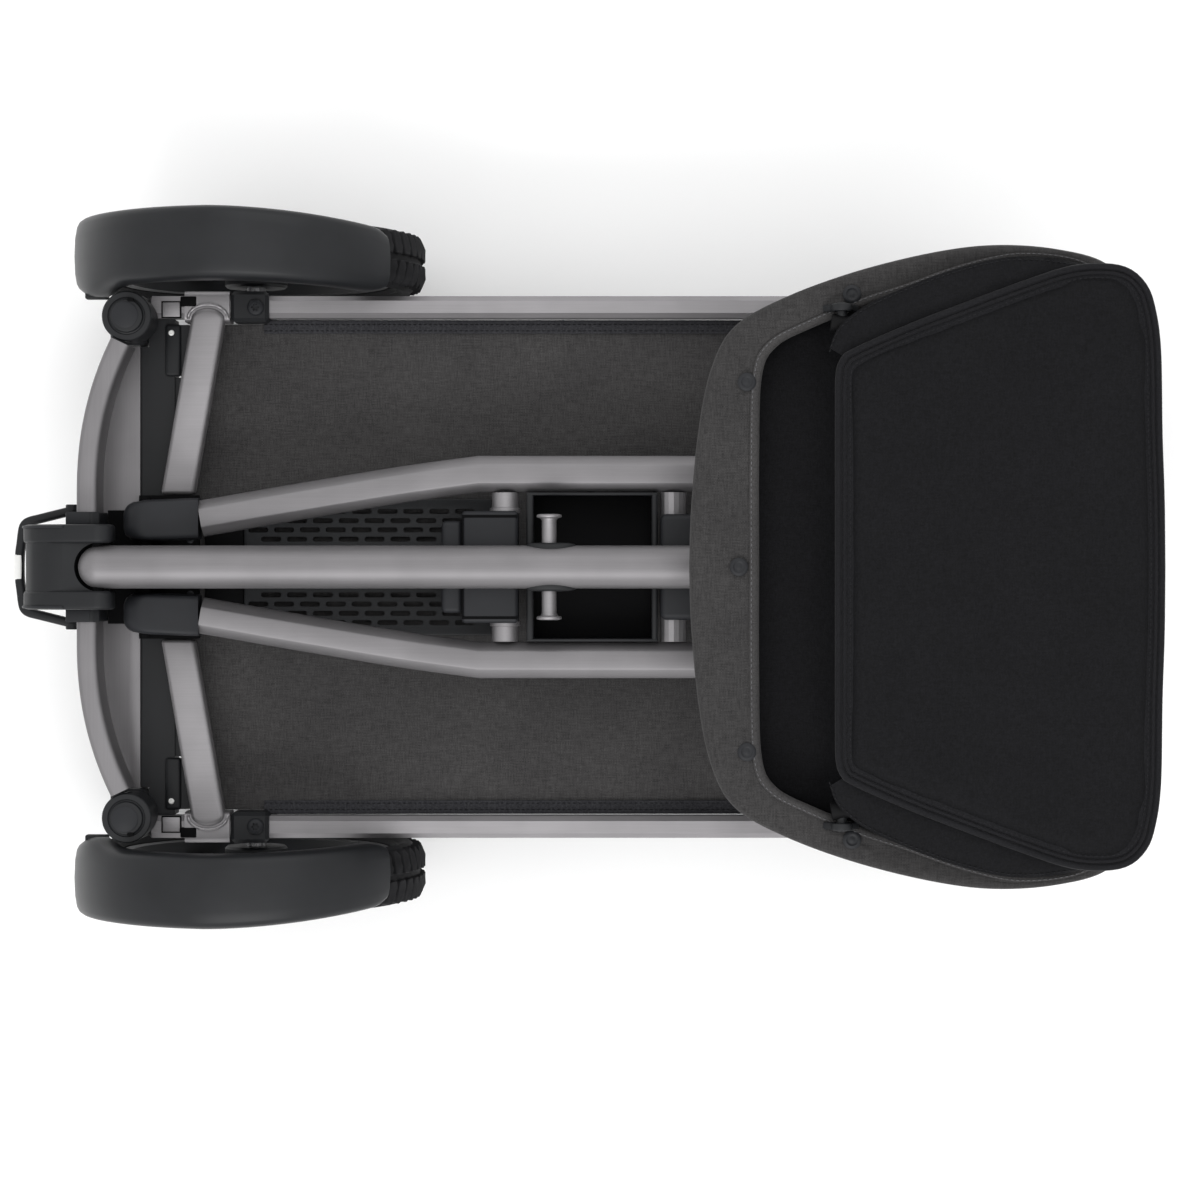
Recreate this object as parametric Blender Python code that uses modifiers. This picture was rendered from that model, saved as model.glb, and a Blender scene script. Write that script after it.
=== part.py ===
"""Folding pet stroller, modelled folded and standing on its four wheels.

+X is the front, +Z is up and the object is symmetric about the plane Y = 0.
The origin is on the floor under the middle of the outline. Units are metres.
"""

import math

import bmesh
import bpy
from mathutils import Matrix, Vector

# ---- driving dimensions ----------------------------------------------------
GAP = 0.0003                 # clearance between touching pieces
RUN = 0.0003                 # radial clearance of a running pivot

TYRE_RADIUS = 0.140          # rear wheel
TYRE_WIDTH = 0.049
BEAD_RADIUS = 0.112
AXLE_RADIUS = 0.008
HUB_REACH = 0.0255
WHEEL_X = -0.264
WHEEL_Y = 0.251
GUARD_WALL = 0.0025          # mudguard
GUARD_CLEAR = 0.0065
GUARD_HALF_WIDTH = 0.031
GUARD_SWEEP = math.radians(142)

RAIL_Y = 0.212               # side rails
RAIL_WIDTH = 0.018
RAIL_HEIGHT = 0.024
RAIL_Z = 0.175
RAIL_REAR = -0.3486
RAIL_FRONT = 0.330
SLEEVE_WALL = 0.0035

POST_X = -0.358              # rear corner posts
POST_Y = 0.201
POST_RADIUS = 0.020
POST_TOP = 0.235

BAR_X = -0.3897              # bowed rear bar
BAR_WIDTH = 0.0165
BAR_BOTTOM = 0.196
BAR_TOP = 0.235
BAR_BOW = 0.027

LINK_LENGTH = 0.560          # the two parallel links that lift the cabin
ARM_PIVOT_X = -0.344
ARM_PIVOT_Z = 0.225
TUBE_PIVOT_X = -0.376
TUBE_PIVOT_Z = 0.262
TUBE_RADIUS = 0.017
PIN_RADIUS = 0.005
ARM_WIDTH = 0.029
ARM_HEIGHT = 0.024
CROSS_TUBE_RADIUS = 0.0105
ARM_REAR_Y = 0.0397
ARM_FRONT_Y = 0.0746
OPEN_PIVOT_CLEAR = 0.0015

CABIN_REAR = 0.0895          # cabin rim and what follows its outline
CABIN_LENGTH = 0.3465
CABIN_HALF_WIDTH = 0.247
FLOOR_Z = 0.290
FLOOR_THICKNESS = 0.007
PAD_THICKNESS = 0.012
RIM_BOTTOM = 0.325
RIM_TOP = 0.345
WALL_THICKNESS = 0.005
WALL_INSET = 0.008

HANDLE_PIVOT_X = 0.205       # push handle with the padded panel, and the hood bow
HANDLE_PIVOT_Z = 0.355
HANDLE_RADIUS = 0.007
HANDLE_REAR_Y = 0.186
HANDLE_FRONT_Y = 0.221
HANDLE_FRONT_X = 0.438
HANDLE_PIN_RADIUS = 0.004
BOW_THICKNESS = 0.004
BOW_HEIGHT = 0.011
HOOD_WIDTH = 0.016
PANEL_REAR = 0.198
PANEL_FRONT = 0.452
PANEL_THICKNESS = 0.013

CASTER_X = 0.351             # front casters
CASTER_Y = 0.202
CASTER_TRAIL = 0.035
FRONT_RADIUS = 0.075
FRONT_WIDTH = 0.030
FORK_HALF = 0.023
FORK_WALL = 0.0055

PEDAL_X = -0.406             # brake pedal
PEDAL_Z = 0.201
PEDAL_REAR = -0.452
BLOCK_HALF = 0.036           # block on the middle of the rear bar
COLLAR_WIDTH = 0.0085

PLATE_REAR = -0.249          # slotted plate on the deck
PLATE_FRONT = -0.068
PLATE_HALF_WIDTH = 0.056
DECK_TOP = 0.166
PLATE_THICKNESS = 0.004

STAY_BOTTOM = 0.1915         # mudguard stay
STAY_TOP = 0.203
STAY_LENGTH = 0.019

CROSS_PIN_X = -0.0192        # pin through the lifting tube, with a grommet on each side
CROSS_PIN_RADIUS = 0.0063
CROSS_PIN_REACH = 0.040
GROMMET_LENGTH = 0.041
GROMMET_HEIGHT = 0.0190
BOX_CLEAR = 0.0025           # between the lifting tube and what lies under it
BOX_BOTTOM = 0.209

ROUND = 16                   # sides of a small round piece

FINISH = {
    "frame": ("#8C8A8C", 0.42, 0.85),
    "plastic": ("#2B2C2E", 0.5, 0.0),
    "box": ("#47484B", 0.5, 0.0),
    "steel": ("#B4B4B6", 0.3, 1.0),
    "tyre": ("#222224", 0.85, 0.0),
    "fabric": ("#454546", 0.95, 0.0),
    "lining": ("#1F1F21", 0.9, 0.0),
    "white": ("#E6E6E6", 0.4, 0.0),
    "grip": ("#1B1B1C", 0.7, 0.0),
}


# ---- helpers ---------------------------------------------------------------
def clear_scene():
    for obj in list(bpy.data.objects):
        bpy.data.objects.remove(obj, do_unlink=True)


def collection(name):
    made = bpy.data.collections.new(name)
    bpy.context.scene.collection.children.link(made)
    return made


clear_scene()
PARTS = collection("pet_stroller")
CUTTERS = collection("cutters")
PIVOTS = {}


def linear(code):
    parts = [int(code[i : i + 2], 16) / 255 for i in (1, 3, 5)]
    return [c / 12.92 if c <= 0.04045 else ((c + 0.055) / 1.055) ** 2.4 for c in parts] + [1.0]


def finish(obj, kind):
    """Gives the object a material of its own."""
    colour, roughness, metallic = FINISH[kind]
    mat = bpy.data.materials.new(obj.name + "_" + kind)
    mat.use_nodes = True
    shader = mat.node_tree.nodes["Principled BSDF"]
    shader.inputs["Base Color"].default_value = linear(colour)
    shader.inputs["Roughness"].default_value = roughness
    shader.inputs["Metallic"].default_value = metallic
    obj.data.materials.append(mat)


def pivot(name, location, parent=None):
    """An empty on a joint's axis; the pieces of that moving body are its children."""
    empty = bpy.data.objects.new("pivot_" + name, None)
    PARTS.objects.link(empty)
    empty.location = location
    PIVOTS[name] = (empty, Vector(location))
    if parent:
        hold(empty, parent)


def hold(obj, body):
    empty, place = PIVOTS[body]
    obj.parent = empty
    obj.matrix_parent_inverse = Matrix.Translation(-place)


def place(name, data, kind, body):
    obj = bpy.data.objects.new(name, data)
    (PARTS if kind else CUTTERS).objects.link(obj)
    if kind:
        finish(obj, kind)
    else:
        obj.hide_render = True
        obj.display_type = "WIRE"
    if body:
        hold(obj, body)
    return obj


def mesh_from(bm, name):
    mesh = bpy.data.meshes.new(name)
    bm.to_mesh(mesh)
    bm.free()
    return mesh


def add_bevel(obj, width, segments=1):
    mod = obj.modifiers.new("bevel", "BEVEL")
    mod.width = width
    mod.segments = segments
    mod.limit_method = "ANGLE"
    mod.angle_limit = math.radians(40)


def box(name, low, high, kind=None, body=None, bevel=0.0):
    low, high = Vector(low), Vector(high)
    bm = bmesh.new()
    bmesh.ops.create_cube(bm, size=1.0)
    bmesh.ops.scale(bm, vec=high - low, verts=bm.verts)
    obj = place(name, mesh_from(bm, name), kind, body)
    obj.location = (low + high) / 2
    if bevel:
        add_bevel(obj, bevel)
    return obj


def cylinder(name, start, end, radius, kind=None, body=None, sides=ROUND):
    start, end = Vector(start), Vector(end)
    bm = bmesh.new()
    bmesh.ops.create_cone(
        bm, cap_ends=True, segments=sides, radius1=radius, radius2=radius, depth=(end - start).length
    )
    obj = place(name, mesh_from(bm, name), kind, body)
    obj.rotation_euler = (end - start).to_track_quat("Z", "Y").to_euler()
    obj.location = (start + end) / 2
    obj.data.shade_smooth()
    obj.data.set_sharp_from_angle(angle=math.radians(40))
    return obj


def turned(name, centre, axis, profile, kind=None, body=None, steps=ROUND, closed=False):
    """A turned piece: profile is (radius, height) pairs down the outer side, top to bottom."""
    bm = bmesh.new()
    verts = [bm.verts.new((r, 0.0, h)) for r, h in profile]
    pairs = list(zip(verts, verts[1:])) + ([(verts[-1], verts[0])] if closed else [])
    for a, b in pairs:
        bm.edges.new((a, b))
    obj = place(name, mesh_from(bm, name), kind, body)
    obj.location = centre
    obj.rotation_euler = Vector(axis).to_track_quat("Z", "Y").to_euler()
    add_screw(obj, steps)
    return obj


def add_screw(obj, steps, angle=2 * math.pi):
    mod = obj.modifiers.new("turn", "SCREW")
    mod.axis = "Z"
    mod.angle = angle
    mod.steps = steps
    mod.render_steps = steps
    mod.use_merge_vertices = True
    mod.merge_threshold = 0.0001
    mod.use_smooth_shade = True


def flat(name, loops, low, high, kind=None, body=None, upright=False, bevel=0.0):
    """A flat outline with thickness, in the XY plane between two Z or upright in XZ between two Y."""
    data = bpy.data.curves.new(name, "CURVE")
    data.dimensions = "2D"
    data.fill_mode = "BOTH"
    data.extrude = (high - low) / 2
    for loop in loops:
        spline = data.splines.new("POLY")
        spline.points.add(len(loop) - 1)
        for point, (x, y) in zip(spline.points, loop):
            point.co = (x, y, 0.0, 1.0)
        spline.use_cyclic_u = True
    obj = place(name, data, kind, body)
    middle = (low + high) / 2
    if upright:
        obj.location = (0, middle, 0)
        obj.rotation_euler = (math.pi / 2, 0, 0)
    else:
        obj.location = (0, 0, middle)
    obj = as_mesh(obj)
    if bevel:
        add_bevel(obj, bevel)
    return obj


def as_mesh(obj):
    """Turns a curve into a mesh with its caps welded on."""
    bpy.context.view_layer.update()
    graph = bpy.context.evaluated_depsgraph_get()
    mesh = bpy.data.meshes.new_from_object(obj.evaluated_get(graph))
    bm = bmesh.new()
    bm.from_mesh(mesh)
    bmesh.ops.remove_doubles(bm, verts=bm.verts, dist=0.00001)
    bmesh.ops.recalc_face_normals(bm, faces=bm.faces)
    bm.to_mesh(mesh)
    bm.free()
    name, users = obj.name, obj.users_collection
    new = bpy.data.objects.new(name + "_mesh", mesh)
    for group in users:
        group.objects.link(new)
    new.parent = obj.parent
    new.matrix_parent_inverse = obj.matrix_parent_inverse.copy()
    new.matrix_basis = obj.matrix_basis.copy()
    new.hide_render, new.display_type = obj.hide_render, obj.display_type
    bpy.data.objects.remove(obj, do_unlink=True)
    new.name = name
    return new


def tube(name, points, radius, kind=None, body=None, section=None):
    """A tube along points, round or with the given section outline."""
    data = bpy.data.curves.new(name, "CURVE")
    data.dimensions = "3D"
    data.twist_mode = "Z_UP"
    data.use_fill_caps = True
    spline = data.splines.new("POLY")
    spline.points.add(len(points) - 1)
    for point, co in zip(spline.points, points):
        point.co = (*co, 1.0)
    if section:
        data.bevel_mode = "OBJECT"
        data.bevel_object = section
    else:
        data.bevel_depth = radius
        data.bevel_resolution = 2
    return as_mesh(place(name, data, kind, body))


def oval_section(name, width, height, flat_share=0.5):
    """An eight-sided flat oval used as a tube's section."""
    data = bpy.data.curves.new(name, "CURVE")
    data.dimensions = "2D"
    spline = data.splines.new("POLY")
    w, h, s = width / 2, height / 2, flat_share
    half = [(w, -h * s), (w, h * s), (w * s, h), (-w * s, h)]
    loop = half + [(-x, -y) for x, y in half]
    spline.points.add(len(loop) - 1)
    for point, (x, y) in zip(spline.points, loop):
        point.co = (x, y, 0.0, 1.0)
    spline.use_cyclic_u = True
    return place(name, data, None, None)


def boolean(obj, other, operation="DIFFERENCE"):
    mod = obj.modifiers.new("boolean", "BOOLEAN")
    mod.operation = operation
    mod.solver = "EXACT"
    mod.object = other
    return obj


def smooth_path(points, per_span):
    """Points on a smooth curve through the given points."""
    ends = [2 * Vector(points[0]) - Vector(points[1])], [2 * Vector(points[-1]) - Vector(points[-2])]
    p = ends[0] + [Vector(q) for q in points] + ends[1]
    made = []
    for a, b, c, d in zip(p, p[1:], p[2:], p[3:]):
        for i in range(per_span):
            t = i / per_span
            square, cube = 2 * a - 5 * b + 4 * c - d, 3 * b - a - 3 * c + d
            made.append(0.5 * (2 * b + (c - a) * t + square * t * t + cube * t**3))
    return made + [Vector(points[-1])]


def whole(half):
    """Closes a half outline, given from the rear middle to the front middle, across Y = 0."""
    left = [(x, y) for x, y in half]
    right = [(x, -y) for x, y in reversed(half)]
    return left + [q for q in right if abs(q[1]) > 1e-6]


def inset(loop, distance):
    """Moves a closed outline inwards by a distance."""
    points = [Vector(p) for p in loop]
    area = sum(a.x * b.y - a.y * b.x for a, b in zip(points, points[1:] + points[:1]))
    turn = 1 if area > 0 else -1
    made = []
    for before, here, after in zip(points[-1:] + points[:-1], points, points[1:] + points[:1]):
        a, b = (here - before).normalized(), (after - here).normalized()
        normal = Vector((-(a + b).y, (a + b).x)).normalized() * turn
        made.append(tuple(here + normal * distance / max(0.4, normal.dot(Vector((-a.y, a.x)) * turn))))
    return made


def arc(centre, radius, start, end, steps):
    span = math.radians(end - start)
    angles = [math.radians(start) + span * i / steps for i in range(steps + 1)]
    return [(centre[0] + radius * math.cos(t), centre[1] + radius * math.sin(t)) for t in angles]


SIDES = (("l", 1), ("r", -1))


def spread(side, low, high):
    """Orders a pair of Y values after mirroring to the given side."""
    return (low, high) if side > 0 else (-high, -low)


# ---- rear wheels and mudguards ---------------------------------------------
def rear_wheels():
    half = TYRE_WIDTH / 2
    crown = TYRE_RADIUS
    for tag, side in SIDES:
        body = "rear_wheel_" + tag
        centre = (WHEEL_X, side * WHEEL_Y, TYRE_RADIUS)
        out = (0, side, 0)
        pivot(body, centre)
        tyre = [(BEAD_RADIUS, half - 0.0065), (BEAD_RADIUS + 0.006, half - 0.0015), (crown - 0.012, half)]
        tyre += [(crown - 0.004, half - 0.003), (crown, half - 0.013)]
        tyre += [(r, -h) for r, h in reversed(tyre)]
        turned("rear_tyre_" + tag, centre, out, tyre, "tyre", body, 28, closed=True)
        seat = BEAD_RADIUS - GAP
        bore = AXLE_RADIUS + RUN
        face = [(0.024, 0.004), (seat - 0.016, 0.003), (seat - 0.008, 0.014), (seat, 0.016)]
        rim = [(0, HUB_REACH), (0.010, HUB_REACH - 0.0005), (0.019, HUB_REACH - 0.0035), (0.022, 0.019)] + face
        rim += [(r, -h) for r, h in reversed(face)] + [(0.022, -0.020), (bore, -0.020)]
        rim += [(bore, HUB_REACH - 0.0080), (0, HUB_REACH - 0.0080)]
        wheel = turned("rear_rim_" + tag, centre, out, rim, "plastic", body, 28)
        for i in range(5):
            t = 2 * math.pi * (i + 0.5) / 5
            x, z = WHEEL_X + 0.060 * math.cos(t), TYRE_RADIUS + 0.060 * math.sin(t)
            near, far = side * (WHEEL_Y - TYRE_WIDTH), side * (WHEEL_Y + TYRE_WIDTH)
            boolean(wheel, cylinder(f"rim_hole_{tag}_{i}", (x, near, z), (x, far, z), 0.022, sides=10))


def mudguards():
    outer = TYRE_RADIUS + GUARD_CLEAR + GUARD_WALL
    w = GUARD_HALF_WIDTH
    centre_y = WHEEL_Y - TYRE_WIDTH / 2 - 0.00425 + w + 0.00075
    profile = [(outer - 0.022, w), (outer - 0.011, w - 0.0005), (outer - 0.005, w - 0.004)]
    profile += [(outer - 0.0015, w - 0.013), (outer, 0.0)]
    profile += [(r, -h) for r, h in reversed(profile[:-1])]
    for tag, side in SIDES:
        bm = bmesh.new()
        verts = [bm.verts.new((r, 0.0, h)) for r, h in profile]
        for a, b in zip(verts, verts[1:]):
            bm.edges.new((a, b))
        guard = place("mudguard_" + tag, mesh_from(bm, "mudguard_" + tag), "plastic", None)
        turn = Matrix(((-1, 0, 0), (0, 0, 1), (0, 1, 0)))
        guard.rotation_euler = turn.to_euler()
        guard.location = (WHEEL_X, side * centre_y, TYRE_RADIUS)
        add_screw(guard, 16, GUARD_SWEEP)
        wall = guard.modifiers.new("wall", "SOLIDIFY")
        wall.thickness = GUARD_WALL
        wall.offset = -1
        wall_y = centre_y - w
        low, high = spread(side, POST_Y + 0.007, wall_y + 0.0015)
        stay_x = POST_X - POST_RADIUS + 0.0005
        stay = box("mudguard_stay_" + tag, (stay_x - STAY_LENGTH, low, STAY_BOTTOM), (stay_x, high, STAY_TOP))
        boolean(guard, stay, "UNION")
        rise = (STAY_BOTTOM + STAY_TOP) / 2 - TYRE_RADIUS
        shell_x = WHEEL_X - math.sqrt((outer - 0.011) ** 2 - rise**2)
        low, high = spread(side, wall_y + 0.0004, wall_y + GUARD_WALL - 0.0004)
        near, far = sorted((stay_x - STAY_LENGTH + 0.001, shell_x))
        ends = (near, low, STAY_BOTTOM + 0.001), (far + 0.004, high, STAY_TOP - 0.001)
        boolean(guard, box("mudguard_arm_" + tag, *ends), "UNION")


# ---- chassis -----------------------------------------------------------------
def chassis():
    inner = RAIL_Y - RAIL_WIDTH / 2
    outer = RAIL_Y + RAIL_WIDTH / 2
    top, bottom = RAIL_Z + RAIL_HEIGHT / 2, RAIL_Z - RAIL_HEIGHT / 2
    for tag, side in SIDES:
        low, high = spread(side, inner, outer)
        box("side_rail_" + tag, (RAIL_REAR, low, bottom), (RAIL_FRONT, high, top), "frame", bevel=0.004)
        ends = (RAIL_REAR, low - GAP, bottom - GAP), (RAIL_FRONT, high + GAP, top + GAP)
        core = box("rail_core_" + tag, *ends)

        low, high = spread(side, inner - SLEEVE_WALL, outer + SLEEVE_WALL)
        reach = inner - SLEEVE_WALL + 0.001
        ends = [(-0.3126, reach), (-0.2846, reach), (-0.309, 0.0586), (-0.336, 0.0586)]
        outline = [(x, side * y) for x, y in ends]
        strut = flat("strut_" + tag, [outline], 0.177, 0.195, "frame")
        sleeve = box(
            "sleeve_" + tag, (-0.317, low, bottom - SLEEVE_WALL), (-0.280, high, top + SLEEVE_WALL), bevel=0.003
        )
        boolean(strut, sleeve, "UNION")
        boolean(strut, core)
        clamp = box(
            "axle_bracket_" + tag,
            (-0.2796, low, TYRE_RADIUS - 0.018),
            (-0.2485, high, top + 0.005),
            "plastic",
            bevel=0.003,
        )
        boolean(clamp, core)
        start = side * (outer + SLEEVE_WALL + GAP)
        end = side * (WHEEL_Y + HUB_REACH - 0.0085)
        axle = (WHEEL_X, start, TYRE_RADIUS), (WHEEL_X, end, TYRE_RADIUS)
        cylinder("rear_axle_" + tag, *axle, AXLE_RADIUS, "steel")
        corner(tag, side, outer)

    beam = box("rear_cross_beam", (-0.3481, -inner + GAP, 0.150), (-0.327, inner - GAP, 0.175), "plastic")
    reach = POST_Y - POST_RADIUS - 2 * GAP
    boolean(beam, box("beam_apron", (-0.3560, -reach, 0.152), (-0.3450, reach, 0.1745)), "UNION")
    boolean(beam, box("beam_lip", (-0.3290, -0.155, 0.152), (-0.3150, 0.155, 0.1725)), "UNION")
    for tag, side in SIDES:
        low, high = spread(side, 0.157, inner - 0.005)
        boolean(beam, box("rail_stop_" + tag, (-0.3285, low, 0.165), (-0.315, high, 0.1765)), "UNION")
    deck = inner - SLEEVE_WALL - GAP
    box("fabric_deck", (-0.3145, -deck, DECK_TOP - 0.008), (RAIL_FRONT - 0.002, deck, DECK_TOP), "fabric")
    deck_plate()
    rear_bar()
    pivot_bracket()
    centre_block()


def corner(tag, side, outer):
    """Rear corner: a housing round the rail's end with the capped round post on it."""
    low, high = spread(side, POST_Y - POST_RADIUS, outer + 0.0002)
    housing = box(
        "corner_housing_" + tag, (POST_X - POST_RADIUS, low, 0.152), (RAIL_REAR - GAP, high, 0.190), "plastic"
    )
    add_bevel(housing, 0.004)
    base = RAIL_Z + RAIL_HEIGHT / 2 + 2 * GAP
    height = POST_TOP - base
    cap = [(0, height), (0.0115, height), (0.0133, height - 0.0012), (0.0145, height - 0.0027)]
    cap += [(POST_RADIUS - 0.001, height - 0.0027), (POST_RADIUS, height - 0.0037)]
    cap += [(POST_RADIUS, height - 0.007), (POST_RADIUS - 0.0012, height - 0.007), (POST_RADIUS - 0.0012, 0), (0, 0)]
    post = turned("corner_post_" + tag, (POST_X, side * POST_Y, base), (0, 0, 1), cap, steps=24)
    boolean(housing, post, "UNION")


def bar_centre(y):
    """The bowed bar's centre line in plan: straight in the middle, swept forward to the posts."""
    straight = 0.060
    share = max(0.0, abs(y) - straight) / (POST_Y - POST_RADIUS - straight)
    return BAR_X + BAR_BOW * share**2.2


def rear_bar():
    reach = POST_Y - POST_RADIUS - 0.0005
    count = 24
    ys = [-reach + 2 * reach * i / count for i in range(count + 1)]
    half = BAR_WIDTH / 2
    rear = [(bar_centre(y) - half, y) for y in ys]
    front = [(bar_centre(y) + half, y) for y in reversed(ys)]
    flat("rear_bar", [rear + front], BAR_BOTTOM, BAR_TOP, "frame", bevel=0.0025)
    ys = [-0.174 + 0.348 * i / count for i in range(count + 1)]
    plate = [(bar_centre(y) - 0.002, y) for y in ys] + [(-0.354, 0.170), (-0.354, -0.170)]
    flat("rear_plate", [plate], 0.1760, 0.1795, "frame")


def deck_plate():
    """Slotted plate on the deck under the links, its slots laid like bricks."""
    base = DECK_TOP + GAP + 0.0002
    low, high = (PLATE_REAR, -PLATE_HALF_WIDTH, base), (PLATE_FRONT, PLATE_HALF_WIDTH, base + PLATE_THICKNESS)
    plate = box("slotted_plate", low, high, "plastic")
    pitch_x, pitch_y, length, width = 0.0290, 0.0165, 0.0230, 0.0085
    bm = bmesh.new()
    for row in range(-2, 3):
        shift = pitch_x / 2 if row % 2 else 0.0
        for column in range(6):
            x = PLATE_REAR + 0.018 + shift + column * pitch_x
            if x + length / 2 > PLATE_FRONT - 0.004:
                continue
            made = bmesh.ops.create_cube(bm, size=1.0)["verts"]
            bmesh.ops.scale(bm, vec=(length, width, 0.02), verts=made)
            bmesh.ops.translate(bm, vec=(x, row * pitch_y, base + PLATE_THICKNESS / 2), verts=made)
    boolean(plate, place("plate_slots", mesh_from(bm, "plate_slots"), None, None))


def pivot_bracket():
    """Bracket between the struts that carries the lower pivot of the two bowed arms."""
    base = box("pivot_bracket", (-0.352, -0.058, 0.1957), (-0.304, 0.058, 0.204), "plastic")
    web_half = TUBE_RADIUS + GAP
    web_top = TUBE_PIVOT_Z - TUBE_RADIUS - 0.0015
    web = box("bracket_web", (-0.358, -web_half, 0.200), (-0.330, web_half, web_top))
    boolean(base, web, "UNION")
    apron = box("bracket_apron", (-0.3780, -0.046, 0.1802), (-0.350, 0.046, 0.1990))
    boolean(base, apron, "UNION")
    skirt = box("bracket_skirt", (-0.3265 - 0.010, -0.0583 + GAP, 0.178), (-0.306, 0.0583 - GAP, 0.200))
    boolean(base, skirt, "UNION")
    x, z = ARM_PIVOT_X, ARM_PIVOT_Z
    boolean(base, cylinder("bracket_bore", (x, -0.1, z), (x, 0.1, z), PIN_RADIUS + GAP))
    cylinder("arm_pivot_pin", (x, -0.0565, z), (x, 0.0565, z), PIN_RADIUS, "steel")


def centre_block():
    """Block over the middle of the rear bar with the lifting tube's pivot, and its two collars."""
    rear = BAR_X - BAR_WIDTH / 2
    front = BAR_X + BAR_WIDTH / 2
    eye = (TUBE_PIVOT_X, TUBE_PIVOT_Z)
    outline = [(rear - GAP, 0.212), (rear - GAP, BAR_TOP + GAP), (front + GAP, BAR_TOP + GAP)]
    outline += [(TUBE_PIVOT_X + 0.010, BAR_TOP + GAP)]
    outline += arc(eye, 0.0115, -20, 100, 6)
    outline += [(-0.400, 0.2690), (-0.426, 0.2620), (-0.438, 0.2480), (-0.440, 0.2250), (-0.434, 0.212)]
    block = flat("centre_block", [outline], -BLOCK_HALF, BLOCK_HALF, "plastic", upright=True)
    slot_end = TUBE_PIVOT_X - TUBE_RADIUS - 0.002
    slot_half = TUBE_RADIUS + 0.0015
    slot_floor = TUBE_PIVOT_Z - TUBE_RADIUS - 0.002
    boolean(block, box("block_slot", (slot_end, -slot_half, slot_floor), (-0.3, slot_half, 0.3)))
    reach = BLOCK_HALF - 0.003
    bore = cylinder("block_bore", (eye[0], -0.1, eye[1]), (eye[0], 0.1, eye[1]), PIN_RADIUS + GAP)
    boolean(block, bore)
    cylinder("tube_pivot_pin", (eye[0], -reach, eye[1]), (eye[0], reach, eye[1]), PIN_RADIUS, "steel")
    for tag, side in SIDES:
        low, high = spread(side, BLOCK_HALF - 0.001, BLOCK_HALF + COLLAR_WIDTH)
        boolean(block, box("bar_collar_" + tag, (-0.412, low, 0.192), (-0.3785, high, 0.240)), "UNION")
    core = box("bar_core", (rear - GAP, -0.06, BAR_BOTTOM - GAP), (front + GAP, 0.06, BAR_TOP + GAP))
    boolean(block, core)


# ---- brake pedal -------------------------------------------------------------
def brake_pedal():
    pivot("pedal", (PEDAL_X, 0, PEDAL_Z))
    inner = BLOCK_HALF + COLLAR_WIDTH + 0.0007
    outer = inner + 0.0055
    tip = PEDAL_REAR
    seat = 0.0118
    half = [(tip + 0.003, seat), (tip, seat), (tip + 0.004, 0.0395), (PEDAL_X - 0.014, outer)]
    half += [(PEDAL_X + 0.006, outer), (PEDAL_X + 0.006, inner), (PEDAL_X - 0.012, inner)]
    half += [(tip + 0.012, 0.034), (tip + 0.010, seat)]
    outline = half + [(x, -y) for x, y in reversed(half)]
    flat("brake_pedal", [outline], PEDAL_Z - 0.005, PEDAL_Z + 0.005, "plastic", "pedal")
    reach = seat - 2 * GAP
    low, high = (tip, -reach, PEDAL_Z - 0.004), (tip + 0.003 - GAP, reach, PEDAL_Z + 0.004)
    box("pedal_insert", low, high, "white", "pedal")


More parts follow.
